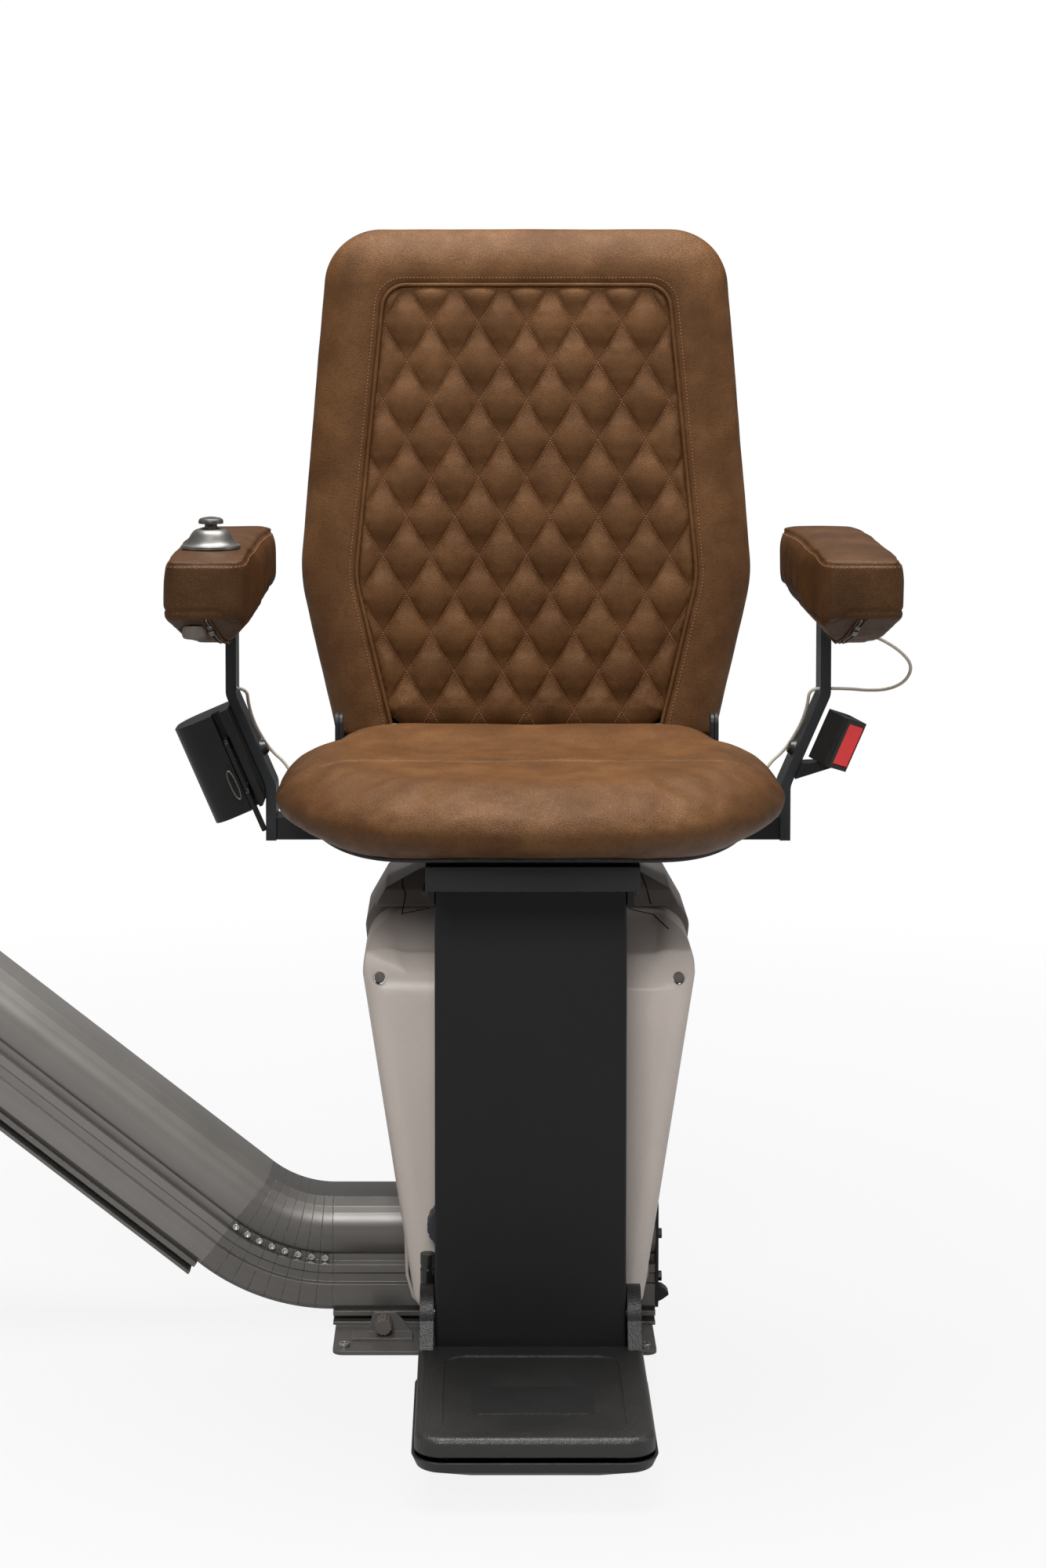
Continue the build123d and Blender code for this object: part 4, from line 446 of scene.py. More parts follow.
cover = merged("front_cover")
for side in (-1, 1):
    for turn in range(8, 88, 8):
        slant = radians(turn)
        cut_across(cover, (side * corner_x, 0, corner_z), (-side * sin(slant), 0, cos(slant)))
for v in cover.verts:
    out, up = abs(v.co.x) - corner_x, v.co.z - corner_z
    if out > 0 and up > 0:          # the moulding's upper corners are full and round
        fuller = corner_fullness * (2 * out * up / (out * out + up * up)) ** 2
        v.co.x += (1 if v.co.x > 0 else -1) * out * fuller
        v.co.z = min(v.co.z + up * fuller, cover_top)
front_moulding = piece("front_moulding", cover, "carriage", cover_greige)
front_moulding.data.set_sharp_from_angle(angle=sharp_edge)
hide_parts("front_cover")
dress(housing_greige_painted_shade, "upper_housing")
dress(turned_metal("recessed_screw", (0.16, 0.148, 0.138), (0.30, 0.28, 0.26), 0.6, 0.42),
      "cover_screws")


def tree_of(*things):
    """Ray-cast tree of the finished surface of one or more pieces."""
    shape = bmesh.new()
    for thing in things:
        shape.from_mesh(thing.data)
    made = BVHTree.FromBMesh(shape)
    shape.free()
    return made


def welt(name, path, radius, body, finish, closed=False):
    """A thin round cord or bead, as a mesh tube along a path."""
    line = bpy.data.curves.new(name, "CURVE")
    line.dimensions, line.bevel_depth, line.bevel_resolution = "3D", radius, 2
    line.use_fill_caps = not closed
    spline = line.splines.new("POLY")
    spline.points.add(len(path) - 1)
    for point, spot in zip(spline.points, path):
        point.co = (*spot, 1)
    spline.use_cyclic_u = closed
    holder = bpy.data.objects.new(name + "_line", line)
    bpy.context.scene.collection.objects.link(holder)
    bpy.context.view_layer.update()
    mesh = bpy.data.meshes.new_from_object(
        holder.evaluated_get(bpy.context.evaluated_depsgraph_get()))
    bpy.data.objects.remove(holder)
    mesh.name = name
    mesh.shade_smooth()
    mesh.materials.clear()
    mesh.materials.append(finish)
    thing = bpy.data.objects.new(name, mesh)
    bpy.context.scene.collection.objects.link(thing)
    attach(thing, body)


# parting lines of the upper housing, a shadow gap 1 mm wide, by corners across and up in mm
leg_steps = 6
gap_shadow = moulded("gap_shadow", (0.012, 0.011, 0.010), 0.8, grain=900, relief=0.2, shine=0.1)
shell_surface = tree_of(part["upper_housing"], front_moulding)
for index, route in enumerate((
        ((-121.5, 462), (-121.5, 451), (-118.4, 444), (-121.5, 427)), ((-121, 427.6), (-94.7, 431)),
        ((109.7, 463), (115, 450.5), (121.2, 427)), ((97.5, 430.6), (121, 427), (134, 419)))):
    path = []
    for (x0, z0), (x1, z1) in zip(route, route[1:]):
        for k in range(leg_steps + 1):
            start = Vector((x0 + (x1 - x0) * k / leg_steps, -300,
                            z0 + (z1 - z0) * k / leg_steps)) / 1000
            spot = shell_surface.ray_cast(start, Vector((0, 1, 0)), 0.4)[0]
            if spot is not None and (not path or (spot - path[-1]).length > 0.0005):
                path.append(spot)
    welt(f"parting_line_{index}", path, 0.0005, "carriage", gap_shadow)

# ---- Beam and front plate ----
# The black backbone is folded steel, powder coated almost flat. It hangs from the beam and
# carries the footrest at its foot; two hexagon bolts hold it at the top on each side.
dress(moulded("plate_powder_coat", (0.0135, 0.0135, 0.0138), 0.48, grain=1000, relief=0.30,
              depth=0.00025, wear=0.5, patch=4, shine=0.22, worn=(0.075, 0.075, 0.075), swing=0.08),
      "front_plate")
dress(black_oxide, "plate_bolts")

# ---- Hand-winding knob ----
# Fluted knob of blue-grey nylon on the end of the gearbox's emergency shaft. It stands in front
# of the plate, where a hand can turn it.
dress(moulded("winding_nylon", (0.030, 0.034, 0.044), 0.46, grain=1500, relief=0.25),
      "hand_wind_knob")

# ---- Footrest: pins, tread, safety pan and lift ----
# The tread is one moulding in dark grey plastic with a leathery grain. The thin pan under it is
# smoother, and gives way when it meets a step. A small black gas lift folds it.
dress(zinc, "footrest_pins")
dress(moulded("tread_grain", (0.023, 0.022, 0.021), 0.40, grain=620, relief=0.55, depth=0.0005,
              wear=0.35, patch=10, shine=0.5, worn=(0.15, 0.14, 0.14), swing=0.14),
      "footrest_tread")
dress(moulded("pan_plastic", (0.020, 0.0195, 0.019), 0.44, grain=900, relief=0.30, wear=0.5,
              shine=0.45, worn=(0.15, 0.14, 0.14)), "footrest_pan")
dress(moulded("lift_enamel", (0.014, 0.014, 0.014), 0.28, grain=900, relief=0.10, wear=0.4),
      "footrest_actuator")

# a plain film, left bare, shows where the feet go
film_half_wide, film_half_deep, film_corner, film_thick = 0.0535, 0.031, 0.006, 0.00025
film_y, film_z = -0.377, 0.0606
film_skin = moulded("tread_film", (0.025, 0.0245, 0.024), 0.30, grain=620, relief=0.25,
                    depth=0.0003, wear=0.2, shine=0.5)
film = bmesh.new()
bmesh.ops.create_grid(film, x_segments=1, y_segments=1, size=1.0)
for corner in film.verts:
    corner.co = Vector((corner.co.x * film_half_wide, film_y + corner.co.y * film_half_deep,
                        film_z))
bmesh.ops.bevel(film, geom=film.verts[:], offset=film_corner, affect="VERTICES", segments=5,
                profile=0.5, material=-1)
wall = bmesh.ops.extrude_face_region(film, geom=film.faces[:])
bmesh.ops.translate(film, verts=new_corners(wall), vec=(0, 0, film_thick))
bmesh.ops.recalc_face_normals(film, faces=film.faces)
piece("tread_film", film, "footrest", film_skin, smooth=False)

# ---- Swivel, seat frame and pan ----
# A turned steel bearing with a welded frame of square tube above it. Rubber buffers carry the
# pressed seat pan, which folds up on two pins.
dress(turned_metal("bearing_steel", (0.33, 0.32, 0.31), (0.66, 0.65, 0.63), 0.95, 0.32),
      "swivel_base")
dress(chassis_paint, "seat_frame", "seat_pan")
dress(moulded("buffer_rubber", (0.018, 0.018, 0.018), 0.75, grain=500, relief=0.3, shine=0.3),
      "seat_buffers")

# ---- Back shell and its frame ----
# The back cushion clips into a shallow shell of grained black plastic. Two flat uprights, black
# steel, carry it from a bracket at the rear of the seat.
dress(moulded("shell_black", (0.022, 0.021, 0.020), 0.50, grain=520, relief=0.5, depth=0.0004,
              wear=0.4, patch=8), "back_shell")
bar_coat = moulded("bar_slate_coat", (0.016, 0.018, 0.020), 0.40, grain=1000, relief=0.22,
                   wear=0.55, worn=(0.11, 0.115, 0.12), shine=0.35)
dress(bar_coat, "back_frame", "arm_bar_left", "arm_bar_right")
dress(black_oxide, "belt_bolts")
dress(moulded("core_plastic", (0.030, 0.030, 0.030), 0.55, grain=600, relief=0.4), "arm_core_left",
      "arm_core_right")

# ---- Seat cushion ----
# Brown leather over moulded foam on the seat pan, stapled underneath. The cover is drawn down
# along a cross seam where the flat of the seat meets its rolled front.
leather_grain, taken, given = effect(
    "leather_grain", [("Pebble", "Float", 620.0), ("Mottle", "Float", 21.0)],
    [("Mottle", "Float"), ("Pores", "Float"), ("Height", "Float")])
tree = leather_grain
place = put(tree, "TexCoord")
warp = put(tree, "TexNoise", Vector=place.outputs["Object"], Scale=130.0, Detail=2.0)
pushed = put(tree, "VectorMath", {"operation": "SCALE"}, i0=warp.outputs["Color"], Scale=0.0016)
bent = put(tree, "VectorMath", {"operation": "ADD"}, i0=place.outputs["Object"],
           i1=pushed.outputs[0])
pebbles = put(tree, "TexVoronoi", {"feature": "DISTANCE_TO_EDGE"}, Vector=bent.outputs[0],
              Scale=taken.outputs["Pebble"])
furrow = put(tree, "MapRange", Value=pebbles.outputs["Distance"], i1=0.0, i2=0.22)
dust = put(tree, "TexNoise", Vector=place.outputs["Object"], Scale=1900.0, Detail=2.0)
creased = put(tree, "Mapping", Vector=place.outputs["Object"], Scale=(1.0, 1.0, 2.2))
crease = put(tree, "TexNoise", Vector=creased.outputs[0], Scale=55.0, Detail=5.0, Roughness=0.65,
             Distortion=0.6)
low = put(tree, "TexNoise", Vector=place.outputs["Object"], Scale=taken.outputs["Mottle"],
          Detail=7.0, Roughness=0.62)
mottled = put(tree, "MapRange", Value=low.outputs[0], i1=0.28, i2=0.72)
grit = put(tree, "Math", {"operation": "MULTIPLY_ADD"}, i0=dust.outputs[0], i1=0.5,
           i2=furrow.outputs[0])
relief = put(tree, "Math", {"operation": "MULTIPLY_ADD"}, i0=crease.outputs[0], i1=1.6,
             i2=grit.outputs[0])
tree.links.new(mottled.outputs[0], given.inputs["Mottle"])
tree.links.new(furrow.outputs[0], given.inputs["Pores"])
tree.links.new(relief.outputs[0], given.inputs["Height"])


def leather(name, dark, mid, light, rough=0.46, pebble=620.0, relief=0.42):
    """Pigmented leather: cloudy mid brown, darker in the pores, rubbed lighter in patches."""
    finish, tree, shader = blank_finish(name)
    grain = call(tree, leather_grain, Pebble=pebble)
    cloud = put(tree, "ValToRGB", i0=grain.outputs["Mottle"])
    ramp = cloud.color_ramp
    ramp.elements[0].color, ramp.elements[1].color = (*dark, 1), (*light, 1)
    ramp.elements.new(0.5).color = (*mid, 1)
    pores = put(tree, "MapRange", Value=grain.outputs["Pores"], i3=0.66, i4=1.06)
    hide = put(tree, "VectorMath", {"operation": "SCALE"}, i0=cloud.outputs["Color"])
    tree.links.new(pores.outputs[0], hide.inputs["Scale"])
    tree.links.new(hide.outputs[0], shader.inputs["Base Color"])
    sheen = put(tree, "MapRange", Value=grain.outputs["Mottle"], i3=rough + 0.07, i4=rough - 0.06)
    tree.links.new(sheen.outputs[0], shader.inputs["Roughness"])
    shader.inputs["Specular IOR Level"].default_value = 0.20
    shader.inputs["Specular Tint"].default_value = (1.0, 0.84, 0.68, 1)
    bumps = put(tree, "Bump", Strength=relief, Distance=0.0005, Height=grain.outputs["Height"])
    tree.links.new(bumps.outputs[0], shader.inputs["Normal"])
    return finish


brown_leather = leather("brown_leather", (0.078, 0.032, 0.0105), (0.114, 0.049, 0.0170),
                        (0.160, 0.074, 0.0280))
# the pads' copy of the seat's brown at about 0.55 of its brightness: painted shade
pad_leather_painted_shade = leather("pad_leather_painted_shade", (0.042, 0.0165, 0.0050), (0.064, 0.0260, 0.0080),
                      (0.092, 0.0390, 0.0130), rough=0.43)


def settle(thing):
    """Apply a piece's modifiers to its mesh."""
    bpy.context.view_layer.update()
    shaped = thing.evaluated_get(bpy.context.evaluated_depsgraph_get())
    mesh = bpy.data.meshes.new_from_object(shaped)
    thing.modifiers.clear()
    thing.data = mesh
    mesh.shade_smooth()


def skinned(name, node, voxel, finish):
    """A copy of a CAD piece with an even skin of small square faces, ready to be padded out."""
    thing = piece(name, merged(node), None, finish)
    skin = thing.modifiers.new("skin", "REMESH")
    skin.mode, skin.voxel_size = "VOXEL", voxel
    settle(thing)
    thing.data.materials.clear()
    thing.data.materials.append(finish)
    return thing


def pad_out(thing, held, pressure, cap, slack=0.0, frames=20, stiff=12.0):
    """Blow the cover out against its stitching; held(v) is 0 to 1 where it is fixed down."""
    rest = [v.co.copy() for v in thing.data.vertices]
    pins = thing.vertex_groups.new(name="stitched_down")
    for v in thing.data.vertices:
        pins.add([v.index], held(v.co), "REPLACE")
    hide = thing.modifiers.new("hide", "CLOTH").settings
    hide.quality, hide.mass = 6, 0.25
    hide.tension_stiffness = hide.compression_stiffness = stiff
    hide.shear_stiffness, hide.bending_stiffness = stiff * 0.5, 0.6
    hide.use_pressure, hide.uniform_pressure_force = True, pressure
    hide.shrink_min = -slack
    hide.effector_weights.gravity = 0
    hide.vertex_group_mass = "stitched_down"
    for frame_number in range(1, frames + 1):
        bpy.context.scene.frame_set(frame_number)
    settle(thing)
    bpy.context.scene.frame_set(1)
    thing.vertex_groups.clear()
    for v, start in zip(thing.data.vertices, rest):
        moved = v.co - start
        if moved.length > cap:
            v.co = start + moved * (cap / moved.length)


def sculpt(thing, move, smooth=0):
    """Move each point of a mesh by move(place, normal), after some smoothing."""
    shape = bmesh.new()
    shape.from_mesh(thing.data)
    for _ in range(smooth):
        bmesh.ops.smooth_vert(shape, verts=shape.verts, factor=0.5, use_axis_x=True,
                              use_axis_y=True, use_axis_z=True)
    shape.normal_update()
    for v in shape.verts:
        v.co += move(v.co, v.normal)
    bmesh.ops.recalc_face_normals(shape, faces=shape.faces)
    shape.to_mesh(thing.data)
    shape.free()
    thing.data.shade_smooth()


def finer(thing):
    """One subdivision, applied."""
    thing.modifiers.new("finer", "SUBSURF").levels = 1
    thing.modifiers["finer"].render_levels = 1
    settle(thing)


def ripple(x, y, size):
    """Slow, irregular rise and fall, from about -1 to 1."""
    x, y = x / size, y / size
    return (sin(x * 1.7 + 1.3 * sin(y * 1.1)) * cos(y * 1.3 + 0.9 * sin(x * 0.8 + 2.0))
            + 0.5 * sin(x * 3.1 - y * 2.3 + 1.0)) / 1.5


def rise(value, start, length):
    """0 before start, then evenly up to 1 over a length."""
    return min(1.0, max(0.0, (value - start) / length))


seat_foot, seat_cross_seam = 0.5303, -0.232
seat_cover = skinned("seat_cover", "seat_cushion", 0.005, brown_leather)
pad_out(seat_cover, lambda p: 1.0 if p.z < seat_foot + 0.006 else 0.0, pressure=2.0,
        cap=0.0028, slack=0.004)
finer(seat_cover)

seat_middle_y, seat_half_wide, seat_half_deep = -0.19, 0.225, 0.198
tuck_in, tuck_up = 0.095, 0.0075        # share drawn in towards the middle, and metres lifted


def tucked(place, share):
    """The cushion and its pan draw in and up round their lower rim, by share of the whole tuck."""
    rim = max(abs(place.x) / seat_half_wide, (seat_middle_y - place.y) / seat_half_deep)
    raised = tuck_up * rise(rim, 0.72, 0.25) ** 2
    return Vector((-tuck_in * place.x, -tuck_in * min(0.0, place.y - seat_middle_y),
                   raised)) * share


def seat_wear(place, normal):
    """Cross seam with its small puckers, a hollow where one sits, and creases by the seam."""
    top = max(0.0, normal.z)
    seam = place.y - seat_cross_seam - 0.0015 * sin(place.x * 9.0)
    pucker = 0.5 + 0.5 * sin(place.x * 330.0 + 2.0 * sin(place.x * 47.0))
    groove = -0.0023 * np.exp(-(seam / 0.0022) ** 2)
    roll = 0.0006 * np.exp(-((abs(seam) - 0.0065) / 0.0045) ** 2)
    gather = -0.0005 * pucker * np.exp(-(abs(seam) / 0.011) ** 2)
    sat = -0.0030 * np.exp(-(place.x / 0.13) ** 2 - ((place.y + 0.13) / 0.085) ** 2)
    slow = 0.0007 * ripple(place.x, place.y, 0.045)
    side = (1 - top) * 0.00025 * ripple(place.x * 1.4, place.y * 1.4 + place.z * 2, 0.022)
    rear = rise(place.y, -0.165, 0.120)
    rear = rear * rear * (3 - 2 * rear)
    high = rise(place.z, 0.548, 0.036)
    wide = rise(abs(place.x), 0.13, 0.05)
    tuck = tucked(place, rise(-place.z, -0.568, 0.038) ** 2)
    square = Vector((0.011 * wide * (1 if place.x > 0 else -1), 0, 0.0105 * high)) * rear * high
    return normal * float(top * (groove + roll + gather + sat + slow) + side) + square + tuck


sculpt(seat_cover, seat_wear, smooth=10)
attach(seat_cover, "seat_pan")
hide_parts("seat_cushion")

# the pressed pan follows the cushion's tucked underside; cuts 18 mm apart let it bend
pan_cut, pan_top = 0.018, 0.5345
pan = merged("seat_pan")
for across, low, count in (((1, 0, 0), -0.216, 25), ((0, 1, 0), -0.378, 21)):
    for k in range(count):
        cut_across(pan, Vector(across) * (low + pan_cut * k), across)
bmesh.ops.triangulate(pan, faces=pan.faces)
for v in pan.verts:
    if v.co.z < pan_top:
        v.co += tucked(v.co, rise(-v.co.y, 0.05, 0.07))
pressed_pan = piece("pressed_pan", pan, "seat_pan", chassis_paint)
pressed_pan.data.set_sharp_from_angle(angle=sharp_edge)
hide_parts("seat_pan")

# ---- Back: rolled border, quilted panel, piping and stitching ----
# The cover is sewn from a plain padded border and a diamond-quilted panel, joined by a piped seam
# with a row of stitches beside it. Each diamond is puffed between two rows of rust-brown thread.
# Its sizes are in millimetres, across, up and behind the plane of its front.
lean = radians(2.5)
back_foot_y, back_foot_z = 4, 590
diamond_wide, diamond_high, quilt_middle = 47.5, 77.0, 250.0
seam_deep, puff_high = 3.4, 6.2     # depth of the quilting's seams, and how far diamonds rise
panel_line = 57.0                   # the piped seam lies this far inside the outline


def on_back(across, up, deep):
    """A place on the leaning back, in metres."""
    return Vector((across, back_foot_y + up * sin(lean) + deep * cos(lean),
                   back_foot_z + up * cos(lean) - deep * sin(lean))) / 1000


def rounded_loop(corners, steps, straight):
    """Closed outline through corners (x, y, radius), arcs of steps pieces, sides of straight."""
    loop = []
    count = len(corners)
    for i in range(count):
        x, y, radius = corners[i]
        before, after = Vector(corners[i - 1][:2]), Vector(corners[(i + 1) % count][:2])
        here = Vector((x, y))
        a, b = (before - here).normalized(), (after - here).normalized()
        half = a.angle(b) / 2
        reach = radius / tan(half)
        middle = here + (a + b).normalized() * (radius / sin(half))
        start, end = here + a * reach - middle, here + b * reach - middle
        turn = start.angle_signed(end)
        arc = []
        for k in range(steps + 1):
            t = -turn * k / steps
            arc.append(middle + Vector((start.x * cos(t) - start.y * sin(t),
                                        start.x * sin(t) + start.y * cos(t))))
        if loop:
            last = loop[-1]
            loop += [last.lerp(arc[0], k / straight) for k in range(1, straight)]
        loop += arc
    last = loop[-1]
    loop += [last.lerp(loop[0], k / straight) for k in range(1, straight)]
    return loop


foot_half, waist_half, top_half = 190, 226.5, 198       # half widths of the back
waist_up, top_up = 152, 500                             # heights of the last two


def back_loop(inset, foot=None):
    """The back's outline, drawn in by inset; foot is the height of its lower edge."""
    low = inset * 0.05 - 7.0 if foot is None else foot
    wide = max(150 - inset, 20)
    shoulder = max(58 - inset * 0.6, 10)
    half = [(foot_half - inset, low, 7), (waist_half - inset, waist_up, wide),
            (top_half - inset, top_up - inset, shoulder)]
    return rounded_loop([(-x, y, radius) for x, y, radius in half] + half[::-1], 14, 26)


# (inset, depth) of the rings round the padded border, from the piped seam over the rim to the rear
border_sections = ((57.6, 6.0), (56.4, 2.2), (53.5, 0.2), (48.0, -1.4), (40.0, -1.6), (31.0, -0.2),
                   (22.0, 3.2), (13.0, 8.6), (6.0, 14.6), (1.6, 21.0), (0.0, 27.5), (0.6, 34.0),
                   (3.0, 40.0), (7.4, 44.0), (24.0, 44.1), (57.6, 44.1))
border = bmesh.new()
(inset, deep), *further = border_sections
ring = [border.verts.new(on_back(p.x, p.y, deep)) for p in back_loop(inset)]
seam_rim = rim = [border.edges.new(ends) for ends in zip(ring, ring[1:] + ring[:1])]
for inset, deep in further:
    grown = bmesh.ops.extrude_edge_only(border, edges=rim)
    rim = [e for e in grown["geom"] if isinstance(e, bmesh.types.BMEdge)]
    for v, p in zip(new_corners(grown), back_loop(inset)):
        v.co = on_back(p.x, p.y, deep)
bmesh.ops.bridge_loops(border, edges=seam_rim + rim)
bmesh.ops.recalc_face_normals(border, faces=border.faces)
back_border = piece("back_border", border, None, brown_leather)
finer(back_border)


def border_wear(place, normal):
    """Drawn-in stretch marks at the shoulders and slow waves in the leather."""
    up = (place.z - back_foot_z / 1000) * 1000
    pull = 0.5 + 0.5 * sin(place.x * 190 + 3 * sin(place.x * 31))
    near_top = np.exp(-((up - 465) / 26) ** 2) * np.exp(-((place.x * 1000 - 45) / 62) ** 2)
    wave = 0.0006 * ripple(place.x, place.z, 0.05) + 0.00035 * ripple(place.z, place.x, 0.019)
    front = max(0.0, -normal.y)
    return normal * float(wave * (0.4 + 0.6 * front) - 0.0013 * pull * near_top * front)


sculpt(back_border, border_wear)

panel_edge = np.array([(p.x, p.y) for p in back_loop(panel_line, foot=2.0)])


def panel_reach(places):
    """How far inside the panel's seam each place (n, 2) lies in mm, and the nearest seam place."""
    best, nearest = np.full(len(places), 1e9), np.zeros_like(places)
    inside = np.zeros(len(places), bool)
    for a, b in zip(panel_edge, np.roll(panel_edge, -1, axis=0)):
        along = b - a
        t = np.clip(((places - a) @ along) / (along @ along), 0, 1)
        foot = a + t[:, None] * along
        gap = np.hypot(*(places - foot).T)
        closer = gap < best
        best[closer], nearest[closer] = gap[closer], foot[closer]
        crosses = (a[1] > places[:, 1]) != (b[1] > places[:, 1])
        with np.errstate(divide="ignore", invalid="ignore"):
            side = places[:, 0] < a[0] + (places[:, 1] - a[1]) * along[0] / along[1]
        inside ^= crosses & side
    return np.where(inside, best, -best), nearest


def diamonds(across, up):
    """Counts of diamonds along the two slants, whole on a quilting seam."""
    wide, high = across / diamond_wide, (up - quilt_middle) / diamond_high
    return wide - high, wide + high


def quilt_depth(across, up, reach):
    """Depth behind the back's front plane: deep at the seams, proud in each diamond."""
    a, b = diamonds(across, up)
    puff = (np.abs(np.sin(pi * a) * np.sin(pi * b))) ** 0.70
    edge = np.clip(reach / 15.0, 0, 1)
    return seam_deep - puff_high * puff * (edge * (2 - edge)) ** 0.6


def lattice(across, up):
    """How far a place is from the nearest quilting seam, in mm."""
    a, b = diamonds(across, up)
    slant = 1 / hypot(1 / diamond_wide, 1 / diamond_high)
    return np.minimum(np.abs(a - np.round(a)), np.abs(b - np.round(b))) * slant


# a grid of 20 by 20 squares a diamond, trimmed to the panel's outline
diamonds_wide, diamonds_high, squares = 7, 6, 20
columns, rows = diamonds_wide * squares, diamonds_high * squares
panel = bmesh.new()
bmesh.ops.create_grid(panel, x_segments=columns, y_segments=rows, size=1.0)
step_x, step_y = diamond_wide / squares, diamond_high / squares
flat = np.array([(round((v.co.x + 1) * columns / 2) * step_x - columns * step_x / 2,
                  round((v.co.y + 1) * rows / 2) * step_y
                  + quilt_middle - diamonds_high / 2 * diamond_high) for v in panel.verts])
for v, (x, y) in zip(panel.verts, flat):
    v.co = (x, y, 0)
outside = [v for v, gap in zip(panel.verts, panel_reach(flat)[0]) if gap <= -0.5]
bmesh.ops.delete(panel, geom=outside, context="VERTS")
bmesh.ops.delete(panel, geom=[v for v in panel.verts if not v.link_faces], context="VERTS")
nearest = panel_reach(np.array([(v.co.x, v.co.y) for v in panel.verts]))[1]
for v, near in zip(panel.verts, nearest):
    if v.is_boundary:
        v.co.x, v.co.y = near
flat = np.array([(v.co.x, v.co.y) for v in panel.verts])
for v, (x, y), deep in zip(panel.verts, flat, quilt_depth(*flat.T, panel_reach(flat)[0])):
    v.co = on_back(x, y, deep)
bmesh.ops.recalc_face_normals(panel, faces=panel.faces)
if sum(f.normal.y for f in panel.faces) > 0:
    bmesh.ops.reverse_faces(panel, faces=panel.faces)
quilt = piece("back_quilting", panel, None, brown_leather)


def flat_place(place):
    """Where a place lies across and up the back, in mm."""
    y, z = place.y * 1000 - back_foot_y, place.z * 1000 - back_foot_z
    return place.x * 1000, y * sin(lean) + z * cos(lean)


def quilt_spots(corners):
    """For the panel's corners: places across and up, gaps to the next seam and to the border."""
    spots = np.array([flat_place(v.co) for v in corners])
    return spots, lattice(*spots.T), panel_reach(spots)[0]


_, gaps, reach = quilt_spots(quilt.data.vertices)
held = [1.0 if gap < 0.4 or edge < 2.5 else 0.0 for gap, edge in zip(gaps, reach)]
pins = {tuple(round(c, 6) for c in v.co): h for v, h in zip(quilt.data.vertices, held)}
pad_out(quilt, lambda p: pins[tuple(round(c, 6) for c in p)], pressure=0.8, cap=0.0011,
        slack=0.01, frames=14, stiff=14.0)
finer(quilt)
shape = bmesh.new()
shape.from_mesh(quilt.data)
spots, gaps, reach = quilt_spots(shape.verts)
drawn_in = np.exp(-(gaps / 1.5) ** 2)
thread_pull = 0.5 + 0.5 * np.sin(spots[:, 1] * 1.55 + 1.3 * np.sin(spots[:, 0] * 0.37))
ruck = 0.35 * thread_pull * np.exp(-((gaps - 5.0) / 3.4) ** 2)
inward = Vector((0, cos(lean), -sin(lean)))
rim_deep, hidden_deep = 6.0, 30.0       # where the panel meets the border, and inside the cushion
for v, (x, y), pull, lifted, edge in zip(shape.verts, spots, drawn_in, ruck, reach):
    here = rim_deep if edge < 0.6 else (v.co - on_back(x, y, 0)).dot(inward) * 1000
    v.co = on_back(x, y, here + pull * max(0.0, seam_deep - here) - lifted)
rim = [e for e in shape.edges if e.is_boundary]
turned_in = bmesh.ops.extrude_edge_only(shape, edges=rim)
for v in new_corners(turned_in):
    v.co = on_back(*flat_place(v.co), hidden_deep)
bmesh.ops.holes_fill(shape, edges=[e for e in shape.edges if e.is_boundary])
bmesh.ops.recalc_face_normals(shape, faces=shape.faces)
shape.to_mesh(quilt.data)
shape.free()
quilt.data.shade_smooth()

for cover in (back_border, quilt):
    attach(cover, "seat")
    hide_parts("back_cushion")

thread_finish, tree, shader = blank_finish("rust_thread")
place = put(tree, "TexCoord")
twist = put(tree, "TexWave", {"wave_type": "BANDS", "bands_direction": "DIAGONAL"},
            Vector=place.outputs["Object"], Scale=900.0, Distortion=1.0)
ply = put(tree, "ValToRGB", i0=twist.outputs[0])
ply.color_ramp.elements[0].color = (0.150, 0.050, 0.018, 1)
ply.color_ramp.elements[1].color = (0.330, 0.135, 0.058, 1)
tree.links.new(ply.outputs["Color"], shader.inputs["Base Color"])
shader.inputs["Roughness"].default_value = 0.62
lay = put(tree, "Bump", Strength=0.4, Distance=0.0002, Height=twist.outputs[0])
tree.links.new(lay.outputs[0], shader.inputs["Normal"])


def stitches(rows, pitch, long, thick, lift=0.0002):
    """Sewn rows as small beads of thread. rows: lists of (place, outward normal) along each."""
    sewn = bmesh.new()
    for row in rows:
        line, carried = bmesh.new(), pitch / 2
        for (a, up), (b, _) in zip(row, row[1:]):
            run = (b - a).length
            if run < 1e-7 or run > 0.02:
                continue
            while carried < run:
                along = (b - a) / run
                out = (up - along * up.dot(along)).normalized()
                turn = Matrix((along, along.cross(out) * -1, out)).transposed().to_4x4()
                spot = Matrix.Translation(a + along * carried + out * lift) @ turn
                bmesh.ops.create_uvsphere(
                    line, u_segments=6, v_segments=4, radius=1.0,
                    matrix=spot @ Matrix.Diagonal((long / 2, thick / 2, thick / 2, 1)))
                carried += pitch
            carried -= run
        short = bpy.data.meshes.new("row")
        line.to_mesh(short)
        line.free()
        sewn.from_mesh(short)
        bpy.data.meshes.remove(short)
    bmesh.ops.recalc_face_normals(sewn, faces=sewn.faces)
    return sewn


def struck(surface, across, up):
    """Where the back's surface is met from the front; None off it."""
    return surface.ray_cast(on_back(across, up, -60), inward, 0.15)[0]


